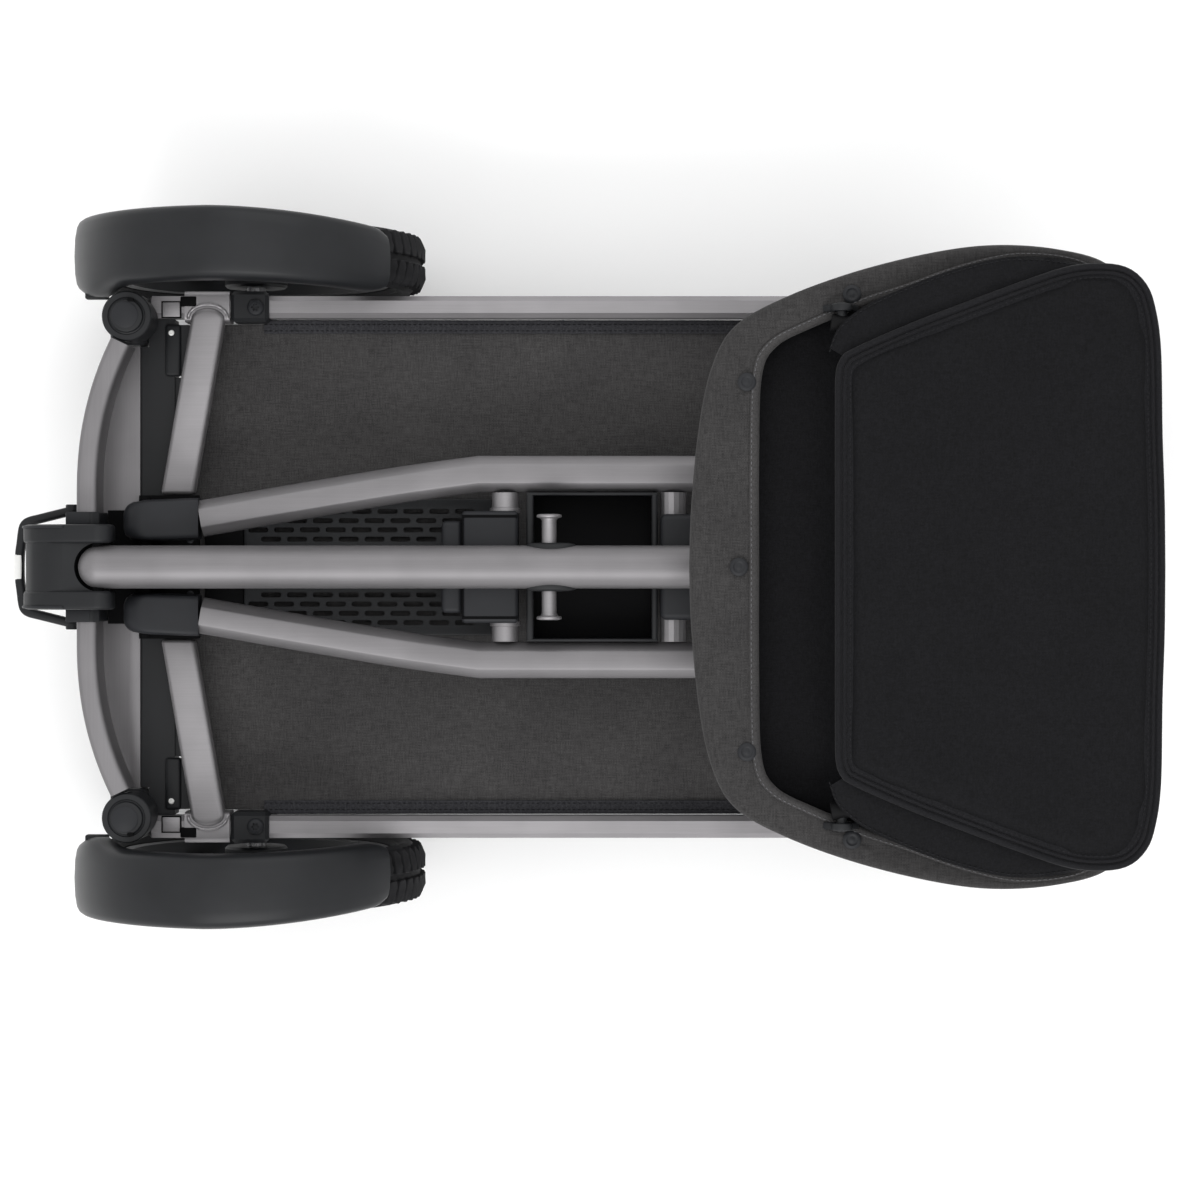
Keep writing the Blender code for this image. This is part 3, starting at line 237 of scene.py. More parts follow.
def make_materials(colours):
    grey = list(colours.aluminium) + [1.0]
    black = list(colours.plastic) + [1.0]
    fabric = list(colours.fabric) + [1.0]
    lining = list(colours.lining) + [1.0]
    M["rail"] = anodised_aluminium("anodised_aluminium_rail", grey, (60, 1, 1))
    # the bar and the tubes take darker copies of the rail aluminium: painted shade on the same metal
    M["bar"] = anodised_aluminium("anodised_aluminium_bar_painted_shade", scaled(grey, 0.7), (1, 60, 1))
    M["tube"] = anodised_aluminium("anodised_aluminium_tube_painted_shade", scaled(grey, 0.74), (60, 1, 1))
    M["weld"] = anodised_aluminium("cast_aluminium_weld", scaled(grey, 1.15))
    M["plastic"] = moulded_plastic("moulded_polypropylene_black", black, 0.46)
    M["guard"] = moulded_plastic("moulded_polypropylene_satin", scaled(black, 1.12), 0.4, 0.0005, 0.00006)
    M["dark"] = moulded_plastic("moulded_nylon_dark_grey", linear("#1F2023"), 0.5)
    # near-black stand-in for shade: pieces in this finish carry painted shade in recesses, in gaps between
    # parts and where parts lie in shade
    M["shadow"] = moulded_plastic("painted_shade_black", linear("#0B0B0C"), 0.7, shine=0.05)
    M["coated"] = moulded_plastic("powder_coated_black_tube", linear("#0E0E0F"), 0.6, 0.0006, 0.00005, 0.1)
    M["white"] = moulded_plastic("moulded_abs_white", linear("#E4E4E2"), 0.35, 0.001, 0.00003, 0.5)
    M["steel"] = turned_steel("turned_zinc_plated_steel")
    M["tyre"] = tyre_rubber("vulcanised_rubber")
    weaves = {
        "melange": ("melange_polyester_canvas", scaled(fabric, 0.72), scaled(fabric, 1.5), 0.0011, 0.93),
        # the rim's canvas is the deck melange drawn darker: painted shade, as the raised rim catches more
        # light than the deck
        "rim": ("melange_polyester_rim_canvas", scaled(fabric, 0.58), scaled(fabric, 1.22), 0.0011, 0.93),
        "hem": ("polyester_binding_tape", scaled(fabric, 0.8), scaled(fabric, 1.55), 0.001, 0.85, 0.003),
        "thread": ("polyester_thread", linear("#4C4C4E"), linear("#6C6C6E"), 0.0005, 0.8, 0.002),
        "black_thread": ("black_polyester_thread", linear("#0C0C0D"), linear("#202023"), 0.0005, 0.7, 0.002),
        "lining": (
            "black_nylon_oxford", scaled(lining, 0.6), scaled(lining, 1.8),
            0.0011, 0.72, 0.004, 0.0003, 0.03, 0.003,
        ),
        # the piping's yarn tones run lighter than the lining it is made of: painted sheen along the panel's
        # edge
        "piping": ("black_nylon_piping", scaled(lining, 0.9), scaled(lining, 2.6), 0.0009, 0.65, 0.003),
        "keder": ("black_keder_strip", linear("#242427"), linear("#3A3A3D"), 0.0012, 0.7, 0.004),
    }
    for key, values in weaves.items():
        M[key] = woven_cloth(*values)
    M["foam"] = closed_foam("closed_cell_foam")


# ---- mesh helpers --------------------------------------------------------------
def lerp(a, b, t):
    return a + (b - a) * t


def evenly(first, last, count):
    return [lerp(first, last, i / count) for i in range(count + 1)]


def smooth_path(points, per_span):
    """Points on a smooth curve through the given points."""
    q = [Vector(p) for p in points]
    p = [2 * q[0] - q[1]] + q + [2 * q[-1] - q[-2]]
    made = []
    for a, b, c, d in zip(p, p[1:], p[2:], p[3:]):
        for i in range(per_span):
            t = i / per_span
            value = 2 * b + (c - a) * t + (2 * a - 5 * b + 4 * c - d) * t * t
            made.append(0.5 * (value + (3 * b - a - 3 * c + d) * t**3))
    return made + [q[-1]]


def resample(points, count):
    """The given number of points, evenly spaced along a line."""
    points = [Vector(p) for p in points]
    lengths = [0.0]
    for a, b in zip(points, points[1:]):
        lengths.append(lengths[-1] + (b - a).length)
    made, i = [], 0
    for k in range(count):
        want = lengths[-1] * k / (count - 1)
        while i < len(points) - 2 and lengths[i + 1] < want:
            i += 1
        span = lengths[i + 1] - lengths[i] or 1.0
        made.append(points[i].lerp(points[i + 1], min(1.0, (want - lengths[i]) / span)))
    return made


def arc(centre, radius, first, last, steps):
    angles = [math.radians(lerp(first, last, i / steps)) for i in range(steps + 1)]
    return [(centre[0] + radius * math.cos(t), centre[1] + radius * math.sin(t)) for t in angles]


def oval(width, height, corner, steps=5):
    """A rounded rectangle, anticlockwise."""
    w, h = width / 2 - corner, height / 2 - corner
    made = []
    for x, y, a in ((w, h, 0), (-w, h, 90), (-w, -h, 180), (w, -h, 270)):
        made += arc((x, y), corner, a, a + 90, steps)
    return made


def loft(bm, rings, closed=False, caps=True, ring_closed=True):
    """Faces between rings of the same number of vertices."""
    count = len(rings[0])
    pairs = list(zip(rings, rings[1:])) + ([(rings[-1], rings[0])] if closed else [])
    for a, b in pairs:
        for i in range(count if ring_closed else count - 1):
            j = (i + 1) % count
            bm.faces.new((a[i], a[j], b[j], b[i]))
    if caps and not closed and ring_closed:
        bm.faces.new(rings[0])
        bm.faces.new(list(reversed(rings[-1])))


def sweep(bm, path, section, closed=False, up=(0, 0, 1)):
    """Carries an outline of (sideways, up) points along a path."""
    path = [Vector(p) for p in path]
    count = len(path)
    rings = []
    for i, here in enumerate(path):
        before = path[i - 1] if closed or i else here
        after = path[(i + 1) % count] if closed or i < count - 1 else here
        along = (after - before).normalized()
        side = Vector(up).cross(along)
        side = side.normalized() if side.length > 1e-6 else Vector((0, 1, 0))
        rise = along.cross(side)
        rings.append([bm.verts.new(here + side * a + rise * b) for a, b in section])
    loft(bm, rings, closed)


def lathe(bm, profile, centre, axis, steps=ROUND, ring_closed=False):
    """Turns (radius, height) pairs round an axis."""
    turn = Vector(axis).to_track_quat("Z", "Y").to_matrix()
    rings = []
    for i in range(steps):
        t = 2 * math.pi * i / steps
        ring = [Vector((r * math.cos(t), r * math.sin(t), h)) for r, h in profile]
        rings.append([bm.verts.new(Vector(centre) + turn @ p) for p in ring])
    loft(bm, rings, True, False, ring_closed)
    bmesh.ops.remove_doubles(bm, verts=bm.verts, dist=1e-6)


def rod(bm, first, last, radius, edge=0.0006, steps=32):
    """A round bar with its ends eased."""
    first, last = Vector(first), Vector(last)
    long = (last - first).length
    profile = [(0, long), (radius - edge, long), (radius, long - edge)]
    profile += [(radius, edge), (radius - edge, 0), (0, 0)]
    lathe(bm, profile, first, last - first, steps)


def round_edges(bm, width, segments=3, angle=32):
    """Rounds the edges sharper than an angle."""
    bmesh.ops.remove_doubles(bm, verts=bm.verts, dist=1e-6)
    bmesh.ops.recalc_face_normals(bm, faces=bm.faces)
    edges = [e for e in bm.edges if e.is_manifold and e.calc_face_angle(0) > math.radians(angle)]
    bmesh.ops.bevel(
        bm, geom=edges, offset=width, segments=segments, profile=0.5, affect="EDGES", clamp_overlap=True
    )


def join(bm, other):
    """Adds another mesh under construction to this one."""
    bmesh.ops.remove_doubles(other, verts=other.verts, dist=1e-6)
    bmesh.ops.recalc_face_normals(other, faces=other.faces)
    mesh = bpy.data.meshes.new("join")
    other.to_mesh(mesh)
    other.free()
    bm.from_mesh(mesh)
    bpy.data.meshes.remove(mesh)


def slab(bm, outline, low, high, edge=0.0, upright=False, segments=3):
    """A flat outline with thickness, in XY between two heights, or upright in XZ between two Y values."""
    part = bmesh.new()
    rings = []
    for level in (low, high):
        rings.append([part.verts.new((x, level, y) if upright else (x, y, level)) for x, y in outline])
    loft(part, rings)
    if edge:
        round_edges(part, edge, segments)
    join(bm, part)


def block(bm, low, high, edge=0.002, segments=3):
    """A box with rounded edges."""
    (x, y, z), (u, v, w) = low, high
    slab(bm, [(x, y), (u, y), (u, v), (x, v)], z, w, edge, segments=segments)


def finished(name, bm, material, body, replaces=(), sharp=35):
    """Makes the piece: smooth faces, sharp edges by angle, material, body and slot."""
    if not isinstance(bm, bpy.types.Mesh):
        bmesh.ops.remove_doubles(bm, verts=bm.verts, dist=1e-6)
        bmesh.ops.dissolve_degenerate(bm, edges=bm.edges, dist=1e-7)
        bmesh.ops.recalc_face_normals(bm, faces=bm.faces)
        mesh = bpy.data.meshes.new(name)
        bm.to_mesh(mesh)
        bm.free()
    else:
        mesh = bm
        mesh.name = name
    mesh.shade_smooth()
    mesh.set_sharp_from_angle(angle=math.radians(sharp))
    obj = bpy.data.objects.new(name, mesh)
    bpy.context.scene.collection.objects.link(obj)
    mesh.materials.clear()
    mesh.materials.append(M[material])
    if body:
        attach(obj, body)
    if replaces:
        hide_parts(*replaces)
    return obj


def dress(material, *names):
    """Gives carried-over frame pieces their finish."""
    for name in names:
        slots = NODES[name].data.materials
        for i in range(len(slots)):
            slots[i] = M[material]


def spread(side, low, high):
    return (low, high) if side > 0 else (-high, -low)


# ---- repeated details, grown by node trees ---------------------------------------
def new_tree(name, **inputs):
    """A geometry tree with named inputs, a material and one geometry output."""
    tree = bpy.data.node_groups.new(name, "GeometryNodeTree")
    for label, kind in {"Geometry": "Geometry", **inputs, "Material": "Material"}.items():
        tree.interface.new_socket(label, in_out="INPUT", socket_type="NodeSocket" + kind)
    tree.interface.new_socket("Geometry", in_out="OUTPUT", socket_type="NodeSocketGeometry")
    return tree, tree.nodes.new("NodeGroupInput").outputs


def end_tree(tree, geometry, given):
    """Ends a tree with real geometry in the given material."""
    real = add(tree, "GeometryNodeRealizeInstances", {0: geometry})
    done = add(tree, "GeometryNodeSetMaterial", {"Geometry": real.outputs[0], "Material": given["Material"]})
    tree.links.new(done.outputs[0], tree.nodes.new("NodeGroupOutput").inputs[0])
    return tree


def instanced(tree, points, instance, **more):
    """One instance on every point."""
    values = {"Points": points, "Instance": instance, **more}
    return add(tree, "GeometryNodeInstanceOnPoints", values).outputs[0]


def mesh_of(tree, socket):
    """The mesh of a helper object."""
    info = add(tree, "GeometryNodeObjectInfo", {"Object": socket}, transform_space="ORIGINAL")
    return info.outputs["Geometry"]


def wheel_tree():
    """Repeats a lug round a carcass."""
    tree, given = new_tree("tread_lugs", Lug="Object", Count="Int", Centre="Vector")
    points = add(tree, "GeometryNodePoints", {"Count": given["Count"]})
    index = add(tree, "GeometryNodeInputIndex").outputs[0]
    turn = maths(tree, "MULTIPLY", index, maths(tree, "DIVIDE", 2 * math.pi, given["Count"]))
    angle = add(tree, "ShaderNodeCombineXYZ", {"Y": turn}).outputs[0]
    many = instanced(tree, points.outputs[0], mesh_of(tree, given["Lug"]), Rotation=angle)
    moved = add(tree, "GeometryNodeTransform", {"Geometry": many, "Translation": given["Centre"]})
    both = add(tree, "GeometryNodeJoinGeometry")
    tree.links.new(moved.outputs[0], both.inputs[0])
    tree.links.new(given["Geometry"], both.inputs[0])
    return end_tree(tree, both.outputs[0], given)


def stitch_tree():
    """Lays stitches along a line at a spacing."""
    tree, given = new_tree("stitches", Spacing="Float", Length="Float", Radius="Float")
    line = add(tree, "GeometryNodeMeshToCurve", {0: given["Geometry"]})
    spacing = {"Curve": line.outputs[0], "Length": given["Spacing"]}
    spaced = add(tree, "GeometryNodeResampleCurve", spacing, mode="LENGTH")
    along = add(tree, "GeometryNodeInputTangent").outputs[0]
    turn = add(tree, "FunctionNodeAlignRotationToVector", {"Vector": along}, axis="X").outputs[0]
    sizes = {"X": maths(tree, "MULTIPLY", given["Length"], 0.5), "Y": given["Radius"], "Z": given["Radius"]}
    size = add(tree, "ShaderNodeCombineXYZ", sizes).outputs[0]
    bead = add(tree, "GeometryNodeMeshUVSphere", {"Segments": 6, "Rings": 4, "Radius": 1.0}).outputs[0]
    return end_tree(tree, instanced(tree, spaced.outputs[0], bead, Rotation=turn, Scale=size), given)


def fastener_tree():
    """Sets a fastener on every point."""
    tree, given = new_tree("fasteners", Head="Object")
    return end_tree(tree, instanced(tree, given["Geometry"], mesh_of(tree, given["Head"])), given)


def slot_tree():
    """Cuts slots laid like bricks through a plate."""
    counts = {"Columns": "Int", "Rows": "Int"}
    pitches = {"Pitch X": "Float", "Pitch Y": "Float"}
    tree, given = new_tree("brick_slots", Cutter="Object", **counts, **pitches, Centre="Vector")
    wide, deep = (
        maths(tree, "MULTIPLY", maths(tree, "SUBTRACT", given[count], 1.0), given[pitch])
        for count, pitch in zip(counts, pitches)
    )
    sizes = {"Size X": wide, "Size Y": deep, "Vertices X": given["Columns"], "Vertices Y": given["Rows"]}
    grid = add(tree, "GeometryNodeMeshGrid", sizes)
    place = add(tree, "GeometryNodeInputPosition").outputs[0]
    at = add(tree, "ShaderNodeSeparateXYZ", {0: place}).outputs["Y"]
    up = maths(tree, "DIVIDE", maths(tree, "MULTIPLY_ADD", deep, 0.5, at), given["Pitch Y"])
    odd = maths(tree, "MODULO", maths(tree, "ROUND", up), 2.0)
    shift = maths(tree, "MULTIPLY", odd, maths(tree, "MULTIPLY", given["Pitch X"], 0.5))
    offset = add(tree, "ShaderNodeCombineXYZ", {"X": shift}).outputs[0]
    laid = add(tree, "GeometryNodeSetPosition", {"Geometry": grid.outputs[0], "Offset": offset})
    many = instanced(tree, laid.outputs[0], mesh_of(tree, given["Cutter"]))
    moved = add(tree, "GeometryNodeTransform", {"Geometry": many, "Translation": given["Centre"]})
    solid = add(tree, "GeometryNodeRealizeInstances", {0: moved.outputs[0]})
    cut = add(tree, "GeometryNodeMeshBoolean", operation="DIFFERENCE", solver="EXACT")
    tree.links.new(given["Geometry"], cut.inputs[0])
    tree.links.new(solid.outputs[0], cut.inputs[1])
    return end_tree(tree, cut.outputs[0], given)


def raw(name, bm):
    """A helper mesh that a node tree reads; it is removed once the tree has run."""
    bmesh.ops.remove_doubles(bm, verts=bm.verts, dist=1e-6)
    if bm.faces:
        bmesh.ops.recalc_face_normals(bm, faces=bm.faces)
    mesh = bpy.data.meshes.new(name)
    bm.to_mesh(mesh)
    bm.free()
    obj = bpy.data.objects.new(name, mesh)
    bpy.context.scene.collection.objects.link(obj)
    return obj


def grown(base, tree, values, helpers=()):
    """Runs a node tree on a helper mesh and returns the result as a plain mesh."""
    mod = base.modifiers.new("grow", "NODES")
    mod.node_group = tree
    for item in tree.interface.items_tree:
        if item.item_type == "SOCKET" and item.in_out == "INPUT" and item.name in values:
            mod[item.identifier] = values[item.name]
    graph = bpy.context.evaluated_depsgraph_get()
    mesh = bpy.data.meshes.new_from_object(base.evaluated_get(graph), depsgraph=graph)
    for helper in (base, *helpers):
        bpy.data.objects.remove(helper, do_unlink=True)
    return mesh


def line_object(lines, closed=False):
    """A helper of edges only, one chain for each line of points."""
    bm = bmesh.new()
    for points in lines:
        verts = [bm.verts.new(p) for p in points]
        for a, b in zip(verts, verts[1:] + (verts[:1] if closed else [])):
            bm.edges.new((a, b))
    return raw("seam_line", bm)


TREES = {}


def stitches(name, lines, body, closed=False, material="thread", spacing=0.0042, length=0.003):
    """A row of stitches along each line."""
    values = {"Spacing": spacing, "Length": length, "Radius": 0.00042, "Material": M[material]}
    mesh = grown(line_object(lines, closed), TREES["stitches"], values)
    return finished(name, mesh, material, body, sharp=60)


def set_on(name, head, points, material, body):
    """Copies of a fastener head on each point."""
    bm = bmesh.new()
    for p in points:
        bm.verts.new(p)
    base = raw("fastener_points", bm)
    helper = raw("fastener_head", head)
    mesh = grown(base, TREES["fasteners"], {"Head": helper, "Material": M[material]}, (helper,))
    return finished(name, mesh, material, body, sharp=40)


def screw_head(radius, height, recess=0.4):
    """A pan head with a six-lobed recess, its seat at the origin."""
    bm = bmesh.new()
    steps = 36
    rings = []
    profile = [(1.0, 0.0), (1.0, 0.35), (0.86, 0.8), (0.62, 1.0)]
    profile += [(recess, 1.0), (recess * 0.92, 0.35), (0, 0.35)]
    for i in range(steps):
        t = 2 * math.pi * i / steps
        ring = []
        for k, (r, h) in enumerate(profile):
            out = radius * r * (1 + 0.22 * math.cos(6 * t) if 4 <= k <= 5 else 1)
            ring.append(bm.verts.new((out * math.cos(t), out * math.sin(t), height * h)))
        rings.append(ring)
    loft(bm, rings, True, False, False)
    return bm


# ---- the operators ----------------------------------------------------------------
def rear_tyres(sizes):
    """Carcass with shoulders and side beads, and hooked lugs in two staggered rows."""
    (x0, y0, z0), (x1, y1, z1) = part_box("rear_tyre_l")
    radius, half = (z1 - z0) / 2, (y1 - y0) / 2
    skin = radius - sizes.lug_height
    bead = 0.112
    side = [(bead, half - 0.0065), (bead + 0.003, half - 0.0035), (bead + 0.006, half - 0.0042)]
    side += [(bead + 0.008, half - 0.002)]
    side += [(bead + 0.013, half - 0.0006), (skin - 0.009, half - 0.0012), (skin - 0.005, half - 0.004)]
    side += [(skin - 0.0012, half - 0.0105), (skin, half - 0.018)]
    profile = side + [(r, -h) for r, h in reversed(side)]
    for tag, sign in SIDES:
        centre = Vector((lerp(x0, x1, 0.5), sign * lerp(y0, y1, 0.5), lerp(z0, z1, 0.5)))
        carcass = bmesh.new()
        lathe(carcass, profile, centre, (0, 1, 0), 96, True)
        lug = bmesh.new()
        for hand in (1, -1):
            hook = [(0.003, 0.0002), (0.0205, 0.001), (0.0222, 0.0052), (0.0175, 0.0092), (0.012, 0.007)]
            hook += [(0.0085, 0.0098), (0.0022, 0.0086)]
            rings = []
            for rise in (-0.0035, sizes.lug_height):
                ring = []
                for across, along in hook:
                    t = (along + (0.0055 if hand < 0 else 0.0) - 0.0045) / radius
                    drop = max(0.0, across - 0.012) * 0.36
                    r = skin + rise - drop - (0.0006 if rise > 0 and across > 0.018 else 0)
                    ring.append(lug.verts.new((r * math.sin(t), hand * across, r * math.cos(t))))
                rings.append(ring)
            loft(lug, rings)
        round_edges(lug, 0.0006, 1)
        helper = raw("tread_lug", lug)
        values = {"Lug": helper, "Count": sizes.lug_count, "Centre": centre, "Material": M["tyre"]}
        mesh = grown(raw("tyre_carcass", carcass), TREES["wheel"], values, (helper,))
        finished("tyre_" + tag, mesh, "tyre", "rear_wheel_" + tag, ["rear_tyre_" + tag])


def rear_rims():
    (x0, y0, z0), (x1, y1, z1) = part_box("rear_tyre_l")
    for tag, sign in SIDES:
        centre = Vector((lerp(x0, x1, 0.5), sign * lerp(y0, y1, 0.5), lerp(z0, z1, 0.5)))
        out = Vector((0, sign, 0))
        bm = bmesh.new()
        seat, barrel = 0.1117, 0.103
        ring = [(seat, 0.016), (seat - 0.002, 0.0175), (barrel, 0.0165)]
        ring += [(barrel - 0.002, 0.012), (barrel - 0.004, 0.004)]
        ring += [(barrel - 0.004, -0.004), (barrel - 0.002, -0.012)]
        ring += [(barrel, -0.0165), (seat - 0.002, -0.0175)]
        ring += [(seat, -0.016), (seat - 0.003, -0.012), (seat - 0.003, 0.012)]
        lathe(bm, ring, centre, out, 96, True)
        hub = [(0.0083, 0.0175), (0.024, 0.0175), (0.026, 0.0155)]
        hub += [(0.026, -0.018), (0.024, -0.02), (0.0083, -0.02)]
        lathe(bm, hub, centre, out, 64, True)
        for i in range(5):
            spoke = bmesh.new()
            rings = []
            for k in range(9):
                s = k / 8
                reach = lerp(0.022, 0.1015, s)
                wide = lerp(0.0155, 0.011, s) + 0.007 * (2 * s - 1) ** 4
                dish = 0.01 * math.sin(math.pi * s * 0.5) - 0.002
                thick = lerp(0.0095, 0.0065, s)
                ring = []
                for a, b in oval(2 * wide, 2 * thick, min(0.0045, thick * 0.8), 3):
                    ring.append(spoke.verts.new((a, reach, b + 0.004 - dish * 0.4)))
                rings.append(ring)
            loft(spoke, rings)
            basis = out.to_track_quat("Z", "Y").to_matrix() @ Matrix.Rotation(2 * math.pi * i / 5, 3, "Z")
            for v in spoke.verts:
                v.co = centre + basis @ v.co
            join(bm, spoke)
        finished("rim_" + tag, bm, "plastic", "rear_wheel_" + tag, ["rear_rim_" + tag])
        cap = bmesh.new()
        dome = [(0, 0.0255), (0.009, 0.025), (0.0155, 0.0232), (0.0168, 0.0218)]
        dome += [(0.0185, 0.0224), (0.0225, 0.0206)]
        lathe(cap, dome + [(0.0238, 0.0182), (0.0238, 0.0176), (0, 0.0176)], centre, out, 64)
        finished("hub_cap_" + tag, cap, "dark", "rear_wheel_" + tag)


def mudguards():
    """Crowned shells that narrow towards the front end, with a rolled rim and a stay to the post."""
    centre_x, centre_z, radius = -0.264, 0.14, 0.149
    steps = 56
    for tag, sign in SIDES:
        bm = bmesh.new()
        rings = []
        for i in range(steps + 1):
            s = i / steps
            t = math.radians(180 - 142 * s)
            ease = max(0.0, (s - 0.55) / 0.45)
            end = min(1.0, s / 0.1)
            pinch = 0.0095 * (1 - math.sqrt(max(0.0, 1 - (1 - end) ** 2)))
            front = max(0.0, (s - 0.965) / 0.035)
            outer = lerp(0.285, 0.2712, ease**1.5) - pinch * 1.1 - 0.004 * front**2
            dip = 0.0076 * math.exp(-(((s - 0.19) / 0.075) ** 2))
            inner = lerp(0.2262, 0.2202, ease**1.5) + pinch * 0.7 + 0.003 * front**2 - dip
            middle, half = (outer + inner) / 2, (outer - inner) / 2
            ring = []
            for shell in (0.0, 0.0024):
                w = half - shell
                rows = [(-1.0, 0.0205), (-1.0, 0.012), (-0.965, 0.0066), (-0.9, 0.0038)]
                rows += [(-0.78, 0.002), (-0.5, 0.0006)]
                rows += [(0.0, 0.0)] + [(-a, b) for a, b in reversed(rows)]
                if shell:
                    rows.reverse()
                for a, b in rows:
                    r = radius - shell - b
                    if abs(a) == 1.0 and b > 0.02:
                        r = radius - b
                    point = (centre_x + r * math.cos(t), sign * (middle + a * w), centre_z + r * math.sin(t))
                    ring.append(bm.verts.new(point))
            rings.append(ring)
        loft(bm, rings)
        finished("mudguard_shell_" + tag, bm, "guard", "chassis", ["mudguard_" + tag], sharp=50)
        stay = bmesh.new()
        low, high = spread(sign, 0.2172, 0.23)
        path = [(-0.3968, low), (-0.3779, low), (-0.3779, high), (-0.39, high)]
        path += [(-0.3968, lerp(low, high, 0.72))]
        if sign < 0:
            path = [(-0.3968, high), (-0.3779, high), (-0.3779, low), (-0.39, low)]
            path += [(-0.3968, lerp(high, low, 0.72))]
        slab(stay, path, 0.1895, 0.199, 0.0018)
        finished("mudguard_tab_" + tag, stay, "plastic", "chassis")


def corners():
    """Corner housings and round posts with stepped discs, a slot and a pin."""
    for tag, sign in SIDES:
        (x0, y0, z0), (_, y1, z1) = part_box("corner_housing_" + tag)
        post = Vector((-0.358, sign * 0.201, 0))
        bm = bmesh.new()
        block(bm, (x0, y0, z0), (-0.349, y1, 0.19), 0.0045)
        profile = [(0, z1), (0.0118, z1), (0.0128, z1 - 0.0004), (0.0133, z1 - 0.0016), (0.0136, z1 - 0.003)]
        profile += [(0.0146, z1 - 0.0034), (0.0152, z1 - 0.0026)]
        profile += [(0.019, z1 - 0.0028), (0.0198, z1 - 0.0036)]
        profile += [(0.02, z1 - 0.005), (0.02, z1 - 0.0078), (0.0192, z1 - 0.0086)]
        profile += [(0.019, 0.1885), (0, 0.1885)]
        lathe(bm, profile, post, (0, 0, 1), 72)
        finished("corner_post_" + tag, bm, "plastic", "chassis", ["corner_housing_" + tag])
        disc = bmesh.new()
        top = [(0, z1 + 0.0009), (0.0096, z1 + 0.0009), (0.0106, z1 + 0.0003)]
        top += [(0.0106, z1 - 0.0006), (0, z1 - 0.0006)]
        lathe(disc, top, post + Vector((-0.0008, sign * 0.0008, 0)), (0, 0, 1), 64)
        finished("post_disc_" + tag, disc, "dark", "chassis")
        # painted shade: a thin sheet of the shade black stands for the shade inside the slot
        slot = bmesh.new()
        hole = oval(0.0052, 0.003, 0.0012, 3)
        outline = [(post.x + 0.0036 + a, post.y + sign * 0.0128 + b) for a, b in hole]
        slab(slot, outline, z1 - 0.002, z1 + 0.0004)
        finished("post_slot_" + tag, slot, "shadow", "chassis")


def rear_frame():
    """Struts with welded sleeves, the bowed bar, its plate, the centre block and the rail clamps."""
    dress("rail", "side_rail_l", "side_rail_r", "front_cross_tube")
    dress("plastic", "axle_bracket_l", "axle_bracket_r", "rear_cross_beam")
    # painted shade: the pivot bracket and the two pivot pins take the shade black, for the shade between the
    # block, the knuckles and the tube
    dress("shadow", "pivot_bracket", "tube_pivot_pin", "arm_pivot_pin")
    dress("plastic", "caster_socket_l", "caster_socket_r")
    dress("steel", "tube_front_pin", "cabin_pivot_pin", "rear_axle_l", "rear_axle_r")
    for tag, sign in SIDES:
        bm = bmesh.new()
        wall = bmesh.new()
        path = [Vector((x, sign * 0.212, 0.175)) for x in (-0.317, -0.28)]
        rings = []
        for x in (-0.317, -0.2805):
            for shape in (oval(0.025, 0.031, 0.0045, 4), oval(0.0186, 0.0246, 0.0025, 4)):
                rings.append([wall.verts.new((x, path[0].y + a, 0.175 + b)) for a, b in shape])
        outer0, inner0, outer1, inner1 = rings
        count = len(outer0)
        for i in range(count):
            j = (i + 1) % count
            for a, b in ((outer0, outer1), (inner1, inner0), (outer1, inner1), (inner0, outer0)):
                wall.faces.new((a[i], a[j], b[j], b[i]))
        join(bm, wall)
        ends = [(-0.298 + 0.0136 * a, 0.2015 + 0.009 * b) for a, b in arc((0, 0), 1, 0, 180, 12)]
        ends += [(-0.336, 0.0586), (-0.309, 0.0586)]
        outline = [(x, sign * y) for x, y in ends]
        slab(bm, outline, 0.1772, 0.1948, 0.0035)
        finished("strut_tube_" + tag, bm, "rail", "chassis", ["strut_" + tag])
        weld = bmesh.new()
        bow = []
        for i in range(25):
            t = math.pi * i / 24
            bow.append((-0.298 - 0.016 * math.cos(t), sign * (0.2022 + 0.0112 * math.sin(t)), 0.1912))
        wobble = [Vector(p) + Vector((0, 0, 0.0003 * math.sin(17 * i))) for i, p in enumerate(bow)]
        sweep(weld, smooth_path(wobble, 2), [(0.0013 * a, 0.0013 * b) for a, b in arc((0, 0), 1, 0, 330, 11)])
        finished("weld_bead_" + tag, weld, "weld", "chassis", sharp=60)
        # the clip tabs and the flat block under the cover plate are in the shade black; the block shows as a
        # thin dark frame round the plate, painted shade between the parts
        tabs = bmesh.new()
        low, high = spread(sign, 0.212, 0.2202)
        block(tabs, (-0.3204, low, 0.1872), (-0.3073, high, 0.1912), 0.001)
        low, high = spread(sign, 0.2026, 0.2165)
        block(tabs, (-0.3362, low, 0.1868), (-0.3199, high, 0.1882), 0.0004)
        finished("rail_clip_" + tag, tabs, "shadow", "chassis")
        cover = bmesh.new()
        low, high = spread(sign, 0.2037, 0.2154)
        block(cover, (-0.3351, low, 0.188), (-0.321, high, 0.189), 0.0004)
        finished("rail_cover_" + tag, cover, "rail", "chassis")
    bar_pieces()


def bar_centre(y):
    share = max(0.0, abs(y) - 0.06) / 0.121
    return -0.3897 + 0.027 * share**2.2


